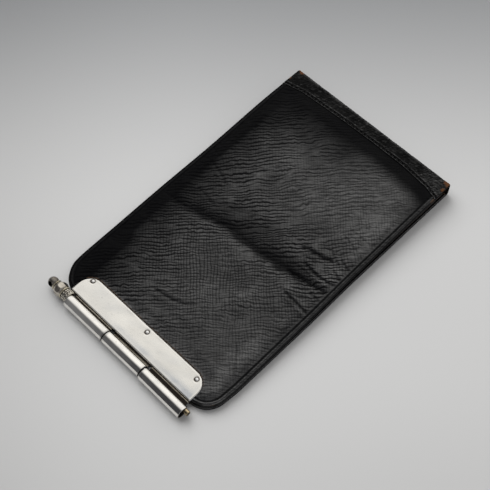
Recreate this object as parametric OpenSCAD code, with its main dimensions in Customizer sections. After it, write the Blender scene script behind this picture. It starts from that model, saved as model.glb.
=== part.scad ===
// A slim leather card case that folds over a square spine. Its two covers are
// locked together at the clasp end by a thin pencil that slides through three
// tube knuckles. Frame: X along the knuckles, Y from the clasp end to the
// spine, Z up, origin at the middle of the back cover's outer face.

/* [Covers] */
// Width of the case, along the knuckles
case_w = 83; // [80:0.5:88]
// Length of the case from the clasp end to the spine
case_l = 137.6; // [136:0.2:144]
// Radius of the cover corners at the clasp end
corner_r = 9.3; // [8:0.1:10]
// Thickness of one cover
cover_t = 1.5; // [1.5:0.05:1.6]
// Gap between the two covers at the clasp end
clasp_gap = 0.3; // [0.3:0.05:0.5]
// Height of the closed case at the spine
spine_h = 7.6; // [7.4:0.1:8.4]
// Width of the spine leather's strip on each cover
strip_w = 8.3; // [7:0.1:9]

/* [Inside] */
// Thickness of the stack of leaves in the note pad
leaves_t = 0.6; // [0.4:0.05:0.6]
// Depth of the card pocket in the front cover
card_pocket_d = 76; // [60:1:78]

/* [Clasp mounts] */
// Left end of the metal plates
plate_x0 = -32.8; // [-34:0.1:-32]
// Right end of the metal plates
plate_x1 = 32.8; // [32:0.1:34]
// Edge of the metal plates that lies on the leather
plate_y1 = -59.0; // [-60:0.1:-57]
// Radius of the plates' two corners on the leather
plate_r = 6.2; // [4:0.1:7]
// Thickness of the plates
plate_t = 0.35; // [0.3:0.05:0.35]
// Outer radius of the tube knuckles
tube_r = 2.62; // [2.6:0.01:2.7]
// Bore radius of the tube knuckles
bore_r = 2.32; // [2.32:0.01:2.36]
// Distance of the knuckles' axis from the plates' end wall
tube_out = 3.75; // [3.7:0.05:4]

/* [Pencil] */
// Radius of the pencil's barrel
barrel_r = 1.15; // [1.05:0.01:1.16]
// Largest radius of the turning head
head_r = 3.12; // [2.9:0.01:3.14]
// Radius of the finial ball
ball_r = 2.2; // [2:0.05:2.3]
// Radius of the cross hole in the finial ball
eye_r = 1.0; // [0.8:0.05:1.1]

/* [Hidden] */
$fn = 96;

// Fold lines: each is the axis of a round bead on the spine's edge
bead_r = 0.45;
fold_y = case_l / 2 - bead_r;
fold_z1 = cover_t / 2;
fold_z2 = spine_h - cover_t / 2;
// The covers stop just short of the spine
cover_y1 = fold_y - bead_r - 0.1;
// Clasp end of the leather; the plates' end walls stand just outside it
cover_y0 = -case_l / 2 + 0.2;
wall_y = cover_y0 - plate_t;
tube_y = wall_y - tube_out;
tube_z = tube_r;
// The front cover slopes down from the spine to the clasp
tilt = asin((fold_z2 - cover_t / 2 - cover_t - clasp_gap) / (fold_y - cover_y0));

// Layers of a cover, from the outside in
skin_t = 0.6;
board_t = 0.5;
lining_t = cover_t - skin_t - board_t;
rim = 0.9;
strip_t = 0.35;
inner_t = 0.3;

// Rivets
rivet_x = [-29.2, 1.6, 28.6];
rivet_y = [-60.9, -61.0, -61.2];
rivet_r = 0.45;
rivet_head_r = 0.8;

// Knuckle spans along X and their small set-outs from the common axis
k_left = [-30.2, -8.8];
k_mid = [-8.5, 11.6];
k_right = [12.25, 34.0];
mid_out = 0.12;
right_out = 0.6;
right_splay = 0.6;

// The pencil lies loose and slightly skew in the knuckles
pen_x = k_left[0] - 0.1;
pen_dy = 0.95;
pen_dz = 0.60;
pen_pitch = 0.307;
pen_yaw = -0.613;
eye_lift = 28;

leather_c = [0.09, 0.09, 0.10];
silver_c = [0.86, 0.86, 0.84];
dull_c = [0.45, 0.42, 0.38];
gilt_c = [0.80, 0.68, 0.42];
paper_c = [0.93, 0.90, 0.82];
board_c = [0.45, 0.38, 0.30];
lining_c = [0.16, 0.12, 0.11];

// ---- shared shapes ----
module cover_2d(w, y0, y1, r) {
    translate([-w / 2, y0 + r]) square([w, y1 - y0 - r]);
    translate([-w / 2 + r, y0]) square([w - 2 * r, r + 0.01]);
    for (s = [-1, 1]) translate([s * (w / 2 - r), y0 + r]) circle(r = r);
}

// Outline of a metal plate, drawn in by `in` all round but at the end wall
module plate_2d(in = 0) {
    r = plate_r - in;
    intersection() {
        union() {
            translate([plate_x0 + in, wall_y]) square([plate_x1 - plate_x0 - 2 * in, plate_y1 - plate_r - wall_y]);
            translate([plate_x0 + plate_r, wall_y]) square([plate_x1 - plate_x0 - 2 * plate_r, plate_y1 - in - wall_y]);
            for (x = [plate_x0 + plate_r, plate_x1 - plate_r]) translate([x, plate_y1 - plate_r]) circle(r = r);
        }
        translate([plate_x0 - 1, wall_y]) square([plate_x1 - plate_x0 + 2, plate_y1 - wall_y + 1]);
    }
}

module slab(x0, x1, y0, y1, z0, z1) {
    translate([x0, y0, z0]) cube([x1 - x0, y1 - y0, z1 - z0]);
}

module rivet_holes(r, z0, z1) {
    for (i = [0:2]) translate([rivet_x[i], rivet_y[i], z0]) cylinder(r = r, h = z1 - z0);
}

// Puts a flat cover drawn at z 0..cover_t, outer face up, onto the slope of the
// front: the point (0, fold_y, cover_t / 2) lands on the upper fold line.
module front_place() {
    translate([0, fold_y, fold_z2]) rotate([tilt, 0, 0]) translate([0, -fold_y, -cover_t / 2]) children();
}

// The back cover is the same cover turned outer face down
module back_place() {
    translate([0, 0, cover_t]) mirror([0, 0, 1]) children();
}

// Both covers' layers are drawn flat, outer face at z = cover_t
module skin(proud) {
    difference() {
        linear_extrude(cover_t) cover_2d(case_w, cover_y0, cover_y1, corner_r);
        translate([0, 0, -1]) linear_extrude(cover_t - skin_t + 1)
            cover_2d(case_w - 2 * rim, cover_y0 + rim, cover_y1 - rim, corner_r - rim);
        translate([0, 0, cover_t - plate_t + proud]) linear_extrude(1) plate_2d();
        translate([0, 0, -1]) linear_extrude(1 + inner_t) plate_2d(0.4);
        slab(-case_w, case_w, cover_y1 - strip_w, cover_y1 + 1, cover_t - strip_t, cover_t + 1);
        rivet_holes(rivet_r + 0.05, -1, cover_t + 1);
    }
}

module board_flat() {
    difference() {
        translate([0, 0, lining_t]) linear_extrude(board_t)
            cover_2d(case_w - 2 * rim, cover_y0 + rim, cover_y1 - rim, corner_r - rim);
        rivet_holes(rivet_r + 0.05, -1, cover_t + 1);
    }
}

module lining_flat() {
    difference() {
        linear_extrude(lining_t)
            cover_2d(case_w - 2 * rim, cover_y0 + rim, cover_y1 - rim, corner_r - rim);
        translate([0, 0, -1]) linear_extrude(1 + inner_t) plate_2d(0.4);
        rivet_holes(rivet_r + 0.05, -1, cover_t + 1);
    }
}

module strip_flat() {
    slab(-case_w / 2, case_w / 2, cover_y1 - strip_w, cover_y1, cover_t - strip_t, cover_t);
}

module inner_plate_flat() {
    difference() {
        linear_extrude(inner_t) plate_2d(0.4);
        rivet_holes(rivet_r + 0.05, -1, cover_t + 1);
    }
}

// Outer plate with its end wall folded over the edge of the cover
module plate_flat(proud, sink) {
    difference() {
        union() {
            translate([0, 0, cover_t - plate_t + proud]) linear_extrude(plate_t - 0.08) plate_2d();
            translate([0, 0, cover_t + proud - 0.08]) linear_extrude(0.08) plate_2d(0.08);
            slab(plate_x0, plate_x1, wall_y, cover_y0, inner_t, cover_t - plate_t + proud + 0.01);
        }
        rivet_holes(rivet_r + 0.05, -1, cover_t + 1);
        if (sink > 0) rivet_holes(rivet_head_r + 0.05, cover_t + proud - sink, cover_t + 1);
    }
}

// Tube drawn along +X from x0 to x1 with softened ends
module knuckle(x0, x1) {
    e = 0.08;
    translate([x0, 0, 0]) rotate([0, 90, 0]) rotate_extrude()
        polygon([[bore_r, e], [bore_r + e, 0], [tube_r - e, 0], [tube_r, e],
                 [tube_r, x1 - x0 - e], [tube_r - e, x1 - x0], [bore_r + e, x1 - x0], [bore_r, x1 - x0 - e]]);
}

module left_place() { translate([0, tube_y, tube_z]) children(); }
module mid_place() { translate([0, tube_y - mid_out, tube_z]) children(); }
module right_place() {
    translate([k_right[0], tube_y - right_out, tube_z]) rotate([0, 0, -right_splay])
        translate([-k_right[0], 0, 0]) children();
}

// Pencil frame: s runs along +X from the left face of the left knuckle
module pen() {
    translate([pen_x, tube_y + pen_dy, tube_z + pen_dz]) rotate([0, pen_pitch, pen_yaw]) children();
}
module turned(pts) { rotate([0, 90, 0]) rotate_extrude() polygon(pts); }
// Point of a profile: s along the pencil, r its radius
function p(s, r) = [r, s];

// ---- back cover ----
module back_leather() { color(leather_c) back_place() skin(0); }
module back_board() { color(board_c) back_place() board_flat(); }
module back_lining() { color(lining_c) back_place() lining_flat(); }
module back_spine_strip() { color(leather_c) back_place() strip_flat(); }

// Sleeve for the pad's card: open to the right and towards the clasp
module back_pocket() {
    color(lining_c) difference() {
        slab(-39.5, 39.5, 30, 64, cover_t, cover_t + 0.85);
        slab(-38, 41, 29, 60, cover_t - 1, cover_t + 0.5);
    }
}

module back_plate() {
    color(silver_c) difference() {
        union() {
            back_place() plate_flat(0, 0.2);
            slab(k_mid[0] + 0.6, k_mid[1] - 0.6, tube_y - mid_out, wall_y + 0.1, 0.8, 1.15);
        }
        mid_place() translate([k_mid[0] - 5, 0, 0]) rotate([0, 90, 0]) cylinder(r = tube_r, h = 40);
    }
}
module back_inner_plate() { color(silver_c) back_place() inner_plate_flat(); }

// Flush heads on the outside, so the case lies flat
module back_rivets() {
    color(silver_c) for (i = [0:2]) translate([rivet_x[i], rivet_y[i], 0]) {
        cylinder(r = rivet_r, h = cover_t);
        cylinder(r = rivet_head_r, h = 0.18);
    }
}
module middle_knuckle() { color(silver_c) mid_place() knuckle(k_mid[0], k_mid[1]); }

// ---- spine ----
module spine_leather() {
    color(leather_c) difference() {
        union() {
            slab(-case_w / 2, case_w / 2, fold_y - bead_r, fold_y + bead_r, fold_z1, fold_z2);
            for (z = [fold_z1, fold_z2]) translate([-case_w / 2, fold_y, z]) rotate([0, 90, 0])
                cylinder(r = bead_r, h = case_w);
        }
        slab(-case_w, case_w, fold_y - 1, fold_y - 0.15, fold_z1 + bead_r, fold_z2 - bead_r);
    }
}
module spine_lining() {
    color(lining_c) slab(-case_w / 2 + 0.8, case_w / 2 - 0.8, fold_y - bead_r, fold_y - 0.15,
                         fold_z1 + bead_r, fold_z2 - bead_r);
}

// ---- front cover ----
module front_leather() { color(leather_c) front_place() skin(0.3); }
module front_board() { color(board_c) front_place() board_flat(); }
module front_lining() { color(lining_c) front_place() lining_flat(); }
module front_spine_strip() { color(leather_c) front_place() strip_flat(); }

// Pocket for cards inside the front cover, its mouth towards the clasp
module card_pocket() {
    y1 = cover_y1 - 5;
    y0 = y1 - card_pocket_d;
    color(lining_c) front_place() difference() {
        slab(-39.5, 39.5, y0, y1, -0.75, 0);
        slab(-38, 38, y0 - 1, y1 - 2, -0.4, 1);
    }
}

module front_plate() {
    color(silver_c) difference() {
        union() {
            front_place() plate_flat(0.3, 0);
            slab(k_left[0] + 0.6, k_left[1] - 0.6, tube_y, wall_y + 0.25, 2.2, 2.55);
            slab(k_right[0] + 0.6, plate_x1 - 0.3, tube_y - 0.7, wall_y + 0.25, 2.2, 2.55);
        }
        left_place() translate([k_left[0] - 1, 0, 0]) rotate([0, 90, 0])
            cylinder(r = tube_r, h = k_left[1] - k_left[0] + 2);
        right_place() translate([k_right[0] - 1, 0, 0]) rotate([0, 90, 0])
            cylinder(r = tube_r, h = k_right[1] - k_right[0] + 2);
    }
}
module front_inner_plate() { color(silver_c) front_place() inner_plate_flat(); }

// Low domed heads on the outside
module front_rivets() {
    color(silver_c) front_place() for (i = [0:2]) translate([rivet_x[i], rivet_y[i], 0]) {
        cylinder(r = rivet_r, h = cover_t + 0.3);
        translate([0, 0, cover_t + 0.3]) rotate_extrude()
            polygon([[0, 0], [rivet_head_r, 0], [rivet_head_r - 0.06, 0.07], [0.5, 0.13], [0, 0.16]]);
    }
}
module left_knuckle() { color(silver_c) left_place() knuckle(k_left[0], k_left[1]); }
module right_knuckle() { color(silver_c) right_place() knuckle(k_right[0], k_right[1]); }

// ---- note pad ----
pad_z = cover_t + 0.05;
pad_card_t = 0.35;
module pad_card() { color(board_c) slab(-37, 37, -43, 58, pad_z, pad_z + pad_card_t); }
module pad_leaves() {
    color(paper_c) slab(-36, 36, -41, 27, pad_z + pad_card_t, pad_z + pad_card_t + leaves_t);
}
module pad_binding() {
    z = pad_z + pad_card_t;
    color(leather_c) difference() {
        slab(-36, 36, 20, 27.2, z, z + leaves_t + 0.12);
        slab(-37, 37, 19, 27, z - 1, z + leaves_t);
    }
}

// ---- pencil ----
module pencil_barrel() {
    color(silver_c) pen() turned([p(-2.85, 0.8), p(-2.85, barrel_r), p(55.9, barrel_r), p(55.9, 0.8)]);
}
module pencil_nozzle() {
    color(gilt_c) pen() turned([p(53.4, 0.5), p(53.4, 0.78), p(55.95, 0.78), p(55.95, 1.12), p(58.9, 1.12),
                                p(65.8, 1.08), p(66.2, 1.0), p(66.2, 0.8), p(65.5, 0.5)]);
}
// Ribbed collar that stops the pencil against the left knuckle
module milled_collar() {
    color(dull_c) pen() turned([p(-2.85, barrel_r + 0.02), p(-2.85, 2.3), p(-2.6, 2.55), p(-2.2, 2.55), p(-2.0, 2.3),
                                p(-1.8, 2.55), p(-1.4, 2.6), p(-1.2, 2.35), p(-1.0, 2.6), p(-0.6, 2.6), p(-0.4, 2.4),
                                p(0, 2.4), p(0, barrel_r + 0.02)]);
}
module collar_ring() {
    color(gilt_c) pen() turned([p(-3.5, 0.4), p(-3.5, 2.55), p(-3.4, 2.7), p(-3.05, 2.7), p(-2.92, 2.55), p(-2.92, 0.4)]);
}
// Bulb cut by eight flats
module turning_head() {
    color(dull_c) pen() difference() {
        intersection() {
            turned([p(-7.5, 0), p(-7.5, 2.05), p(-7.1, 2.45), p(-6.4, 2.85), p(-5.7, 3.06), p(-5.1, head_r),
                    p(-4.6, 3.05), p(-4.1, 2.8), p(-3.7, 2.5), p(-3.5, 2.35), p(-3.5, 0)]);
            translate([-9, 0, 0]) rotate([11, 0, 0]) rotate([0, 90, 0]) cylinder(r = head_r * 0.985, h = 8, $fn = 8);
        }
        translate([-6, 0, 0]) rotate([0, 90, 0]) cylinder(r = 0.4, h = 4);
    }
}
module finial_ring() {
    color(gilt_c) pen() turned([p(-8.1, 0), p(-8.1, 2.15), p(-7.95, 2.32), p(-7.65, 2.32), p(-7.5, 2.15), p(-7.5, 0)]);
}
module finial_ball() {
    color(dull_c) pen() difference() {
        rotate([0, 90, 0]) rotate_extrude() intersection() {
            union() {
                translate([0, -9.7]) circle(r = ball_r);
                translate([0, -9.7]) square([1.7, 1.6]);
            }
            translate([0, -13]) square([4, 4.9]);
        }
        translate([-9.7, 0, 0]) rotate([90 - eye_lift, 0, 0]) translate([0, 0, -5]) cylinder(r = eye_r, h = 10);
    }
}
module drive_screw() {
    color(gilt_c) pen() turned([p(-5.9, 0), p(-5.9, 0.36), p(35.9, 0.36), p(35.9, 0)]);
}
// Nut that runs on the screw and pushes the lead
module lead_carrier() {
    color(gilt_c) pen() turned([p(28.9, 0.42), p(28.9, 0.72), p(43.9, 0.72), p(43.9, 0.3), p(42.4, 0.3), p(42.4, 0.42)]);
}
module lead() {
    color([0.2, 0.2, 0.2]) pen() turned([p(42.6, 0), p(42.6, 0.28), p(43.9, 0.28), p(43.9, 0.4), p(65.3, 0.4), p(65.8, 0.15), p(65.8, 0)]);
}

back_leather();
back_board();
back_lining();
back_spine_strip();
back_pocket();
back_plate();
back_inner_plate();
back_rivets();
middle_knuckle();
spine_leather();
spine_lining();
front_leather();
front_board();
front_lining();
front_spine_strip();
card_pocket();
front_plate();
front_inner_plate();
front_rivets();
left_knuckle();
right_knuckle();
pad_card();
pad_leaves();
pad_binding();
pencil_barrel();
pencil_nozzle();
milled_collar();
collar_ring();
turning_head();
finial_ring();
finial_ball();
drive_screw();
lead_carrier();
lead();
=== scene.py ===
"""Looks of the leather card case: leather, lining, metal, paper and the studio round it."""
import math

import bmesh
import bpy
import numpy as np
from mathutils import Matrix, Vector


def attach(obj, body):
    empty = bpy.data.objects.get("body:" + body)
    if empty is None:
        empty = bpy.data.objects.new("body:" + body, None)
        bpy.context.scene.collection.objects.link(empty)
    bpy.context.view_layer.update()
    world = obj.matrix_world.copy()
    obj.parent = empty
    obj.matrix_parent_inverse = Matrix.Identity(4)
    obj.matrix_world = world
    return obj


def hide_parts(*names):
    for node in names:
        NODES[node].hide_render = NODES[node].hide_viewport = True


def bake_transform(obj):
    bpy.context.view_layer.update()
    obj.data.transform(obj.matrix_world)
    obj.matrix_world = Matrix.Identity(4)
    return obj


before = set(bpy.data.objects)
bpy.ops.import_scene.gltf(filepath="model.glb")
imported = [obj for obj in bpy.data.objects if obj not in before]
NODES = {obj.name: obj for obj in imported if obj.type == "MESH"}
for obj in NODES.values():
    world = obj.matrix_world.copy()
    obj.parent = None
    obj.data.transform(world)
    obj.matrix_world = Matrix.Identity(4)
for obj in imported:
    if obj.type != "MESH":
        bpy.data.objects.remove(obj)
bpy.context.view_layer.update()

MM = 0.001
PI = math.pi

# ---------------------------------------------------------------- sizes, in mm, as the frame has them
W = 83.0            # width of the covers
T = 1.5             # thickness of a cover
Y0, Y1 = -68.6, 67.8
R = 9.3
FOLD_Y, FOLD_Z1, FOLD_Z2 = 68.35, 0.75, 6.85
TILT = math.asin((FOLD_Z2 - 0.75 - 1.5 - 0.3) / (FOLD_Y - Y0))
PX0, PX1, PY1, PR = -32.8, 32.8, -59.0, 6.2     # metal plates
WALL = -68.95
TUBE_Y, TUBE_Z, TUBE_R, BORE_R = -72.7, 2.62, 2.62, 2.32
RIVETS = [(-29.2, -60.9), (1.6, -61.0), (28.6, -61.2)]
HALF = W / 2


# ---------------------------------------------------------------- placing
def front(p):
    """From a flat cover, outer face at z = T, to the front cover's slope."""
    p = np.asarray(p, float)
    y, z = p[..., 1] - FOLD_Y, p[..., 2] - 0.75
    c, s = math.cos(TILT), math.sin(TILT)
    return np.stack([p[..., 0], FOLD_Y + y * c - z * s, FOLD_Z2 + y * s + z * c], -1)


def back(p):
    """The same cover turned face down."""
    p = np.array(p, float)
    p[..., 2] = T - p[..., 2]
    return p


def flat(p):
    return np.asarray(p, float)


def turn(p, pitch, yaw, origin):
    """OpenSCAD's rotate([0, pitch, yaw]) and then a move."""
    a, b = math.radians(pitch), math.radians(yaw)
    ry = np.array([[math.cos(a), 0, math.sin(a)], [0, 1, 0], [-math.sin(a), 0, math.cos(a)]])
    rz = np.array([[math.cos(b), -math.sin(b), 0], [math.sin(b), math.cos(b), 0], [0, 0, 1]])
    return np.asarray(p, float) @ (rz @ ry).T + np.array(origin)


def pen(p):
    return turn(p, 0.307, -0.613, (-30.3, TUBE_Y + 0.95, TUBE_Z + 0.60))


def left_at(p):
    return np.asarray(p, float) + np.array([0, TUBE_Y, TUBE_Z])


def mid_at(p):
    return np.asarray(p, float) + np.array([0, TUBE_Y - 0.12, TUBE_Z])


def right_at(p):
    q = np.asarray(p, float) - np.array([12.25, 0, 0])
    return turn(q, 0, -0.6, (12.25, TUBE_Y - 0.6, TUBE_Z))


# ---------------------------------------------------------------- fields
def smooth(t):
    t = np.clip(t, 0, 1)
    return t * t * (3 - 2 * t)


def bump_at(v, centre, width):
    return np.exp(-((v - centre) / width) ** 2)


class Field:
    """Random relief with one main wavelength, its ridges drawn out along one direction. Unit spread."""

    def __init__(self, seed, angle, across, along, spread=0.35, step=0.2, half=(46, 76)):
        self.step, self.half = step, half
        n = int(2 * half[0] / step), int(2 * half[1] / step)
        white = np.random.default_rng(seed).standard_normal(n)
        fx, fy = np.fft.fftfreq(n[0], step)[:, None], np.fft.fftfreq(n[1], step)[None, :]
        c, s = math.cos(math.radians(angle)), math.sin(math.radians(angle))
        fu, fv = fx * c + fy * s, -fx * s + fy * c
        f0 = 1 / across
        keep = np.exp(-0.5 * ((np.abs(fv) - f0) / (spread * f0)) ** 2) * np.exp(-0.5 * (fu * along) ** 2)
        out = np.real(np.fft.ifft2(np.fft.fft2(white) * keep))
        self.grid = out / out.std()

    def __call__(self, x, y):
        g = self.grid
        i = (np.asarray(x, float) + self.half[0]) / self.step
        j = (np.asarray(y, float) + self.half[1]) / self.step
        i0, j0 = np.floor(i).astype(int), np.floor(j).astype(int)
        fi, fj = i - i0, j - j0
        n, m = g.shape
        a, b, c, d = (g[i0 % n, j0 % m], g[(i0 + 1) % n, j0 % m], g[i0 % n, (j0 + 1) % m], g[(i0 + 1) % n, (j0 + 1) % m])
        return (a * (1 - fi) + b * fi) * (1 - fj) + (c * (1 - fi) + d * fi) * fj


class Ripple:
    """Random creases side by side, that wander, fork and end. Kept as a plane wave and a slowly changing complex envelope."""

    def __init__(self, seed, angle, pitch, length, spread, step=0.2, half=(46, 76)):
        self.step, self.half, self.f0 = step, half, 1 / pitch
        n = int(2 * half[0] / step), int(2 * half[1] / step)
        white = np.random.default_rng(seed).standard_normal(n)
        fx, fy = np.fft.fftfreq(n[0], step)[:, None], np.fft.fftfreq(n[1], step)[None, :]
        self.c, self.s = math.cos(math.radians(angle)), math.sin(math.radians(angle))
        fu, fv = fx * self.c + fy * self.s, -fx * self.s + fy * self.c
        keep = np.exp(-0.5 * ((fv - self.f0) / (spread * self.f0)) ** 2) * np.exp(-0.5 * (fu * 2 * PI * length) ** 2)
        wave = np.fft.ifft2(np.fft.fft2(white) * keep)
        gx, gy = (np.arange(n[0]) * step - half[0])[:, None], (np.arange(n[1]) * step - half[1])[None, :]
        wave = wave * np.exp(-2j * PI * self.f0 * self.across(gx, gy))
        self.grid = wave / np.sqrt(np.mean(np.abs(wave) ** 2))

    def across(self, x, y):
        return -x * self.s + y * self.c

    def __call__(self, x, y, wx, wy):
        """(envelope real part, imaginary part, crease 0..1 with 1 at the bottom, strength 0..1) with the lines moved by (wx, wy)."""
        e = Field.__call__(self, x + wx, y + wy) * np.exp(2j * PI * self.f0 * self.across(wx, wy))
        size = np.abs(e) + 1e-6
        cosine = np.real(e * np.exp(2j * PI * self.f0 * self.across(x, y))) / size
        return np.real(e), np.imag(e), smooth((cosine + 0.15) / 1.15), smooth((size - 0.12) / 0.6)


def creased(f, sharp=0.25):
    """A field as soft pads with a narrow crease at each change of sign. About 0 on average."""
    return np.sqrt(f * f + sharp * sharp) - 0.85


def line_distance(x, y, pts):
    """(distance to a polyline, share of the way along it)"""
    best = np.full(np.shape(x), 1e9)
    where = np.zeros(np.shape(x))
    lengths = [math.dist(a, b) for a, b in zip(pts, pts[1:])]
    total, gone = sum(lengths), 0.0
    for (ax, ay), (bx, by), ln in zip(pts, pts[1:], lengths):
        t = np.clip(((x - ax) * (bx - ax) + (y - ay) * (by - ay)) / (ln * ln), 0, 1)
        d = np.hypot(x - ax - t * (bx - ax), y - ay - t * (by - ay))
        near = d < best
        best = np.where(near, d, best)
        where = np.where(near, (gone + t * ln) / total, where)
        gone += ln
    return best, where


# ---------------------------------------------------------------- meshes
def make(name, verts, faces, mat, sharp=None, attrs=None, tidy=True):
    me = bpy.data.meshes.new(name)
    me.from_pydata((np.asarray(verts, float).reshape(-1, 3) * MM).tolist(), [], [tuple(int(i) for i in f) for f in faces])
    for key, values in (attrs or {}).items():
        a = me.attributes.new(key, "FLOAT", "POINT")
        a.data.foreach_set("value", np.asarray(values, np.float32).ravel())
    if tidy:
        bm = bmesh.new()
        bm.from_mesh(me)
        bmesh.ops.remove_doubles(bm, verts=bm.verts, dist=1e-6 * 0.3)
        bmesh.ops.recalc_face_normals(bm, faces=bm.faces)
        bm.to_mesh(me)
        bm.free()
    me.polygons.foreach_set("use_smooth", [True] * len(me.polygons))
    if sharp is not None:
        me.set_sharp_from_angle(angle=math.radians(sharp))
    me.materials.append(mat)
    ob = bpy.data.objects.new(name, me)
    bpy.context.scene.collection.objects.link(ob)
    return ob


def grid_faces(nr, nc, first=0, flip=False):
    i, j = np.meshgrid(np.arange(nr - 1), np.arange(nc - 1), indexing="ij")
    a = first + i * nc + j
    q = np.stack([a, a + 1, a + nc + 1, a + nc], -1).reshape(-1, 4)
    return q[:, ::-1] if flip else q


def rim_loop(nr, nc):
    """Indices round a grid's border, once."""
    bottom = [j for j in range(nc)]
    right = [i * nc + nc - 1 for i in range(1, nr)]
    top = [(nr - 1) * nc + j for j in range(nc - 2, -1, -1)]
    left = [i * nc for i in range(nr - 2, 0, -1)]
    return bottom + right + top + left


def two_skins(outer, inner):
    """Closed mesh between two grids of the same size."""
    nr, nc = outer.shape[:2]
    n = nr * nc
    verts = np.concatenate([outer.reshape(-1, 3), inner.reshape(-1, 3)])
    faces = [tuple(f) for f in grid_faces(nr, nc)] + [tuple(f) for f in grid_faces(nr, nc, n, True)]
    loop = rim_loop(nr, nc)
    faces += [(a, n + a, n + b, b) for a, b in zip(loop, loop[1:] + loop[:1])]
    return verts, faces


def lathe(profile, place, n=128, closed=False, shape=None):
    """Turns (s, r) points round the s axis. shape(s, angle, r) may change the radius."""
    prof = np.asarray(profile, float)
    ang = np.arange(n) * 2 * PI / n
    s = np.repeat(prof[:, 0][:, None], n, 1)
    r = np.repeat(prof[:, 1][:, None], n, 1)
    a = np.repeat(ang[None, :], len(prof), 0)
    if shape is not None:
        r = np.where(r > 1e-6, shape(s, a, r), r)
    pts = np.stack([s, r * np.cos(a), r * np.sin(a)], -1)
    verts = place(pts.reshape(-1, 3))
    faces = []
    m = len(prof)
    for k in range(m if closed else m - 1):
        l = (k + 1) % m
        for j in range(n):
            j2 = (j + 1) % n
            faces.append((k * n + j, k * n + j2, l * n + j2, l * n + j))
    if not closed:
        for k in (0, m - 1):
            if prof[k, 1] > 1e-6:
                faces.append(tuple(range(k * n, (k + 1) * n)))
    return verts, faces


def lathe_piece(name, profile, place, mat, n=128, closed=False, shape=None, sharp=50, soot=None):
    """As lathe, with points on the axis merged into a pole. The last argument gives, from (s, angle, r), where the
    near-black mark goes: dirt at some joints, and painted shade in bores, gaps, grooves and openings.
    """
    verts, faces = lathe(profile, place, n, closed, shape)
    me_faces = []
    prof = np.asarray(profile, float)
    for f in faces:
        if len(f) == 4:
            rows = {i // n for i in f}
            zero = [k for k in rows if prof[k, 1] <= 1e-6]
            if zero:
                pole = zero[0] * n
                g = []
                for i in f:
                    i = pole if i // n == zero[0] else i
                    if i not in g:
                        g.append(i)
                if len(g) >= 3:
                    me_faces.append(tuple(g))
                continue
        me_faces.append(f)
    used = sorted({i for f in me_faces for i in f})
    where = {i: k for k, i in enumerate(used)}
    attrs = None
    if soot is not None:
        row, col = np.divmod(np.array(used), n)
        attrs = {"soot": np.clip(soot(prof[row, 0], col * 2 * PI / n, prof[row, 1]), 0, 1)}
    return make(name, verts[used], [tuple(where[i] for i in f) for f in me_faces], mat, sharp=sharp, attrs=attrs)


def joined(name, parts, mat, sharp=None, attrs=None):
    verts, faces, at = [], [], 0
    for v, f in parts:
        v = np.asarray(v, float).reshape(-1, 3)
        verts.append(v)
        faces += [tuple(int(i) + at for i in g) for g in f]
        at += len(v)
    return make(name, np.concatenate(verts), faces, mat, sharp=sharp, attrs=attrs)


def arc(cx, cy, r, a0, a1, n):
    t = np.radians(np.linspace(a0, a1, n))
    return [(cx + r * math.cos(k), cy + r * math.sin(k)) for k in t]


def spaced(lo, hi, step, near=(), near_hi=None):
    """Stations from lo to hi: close ones listed from each end, even ones between."""
    near_hi = near if near_hi is None else near_hi
    a = [lo + d for d in near] or [lo]
    b = [hi - d for d in near_hi] or [hi]
    n = max(2, int(round((min(b) - max(a)) / step)))
    mid = np.linspace(max(a), min(b), n + 1)[1:-1]
    return np.array(sorted(a) + list(mid) + sorted(b))


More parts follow.
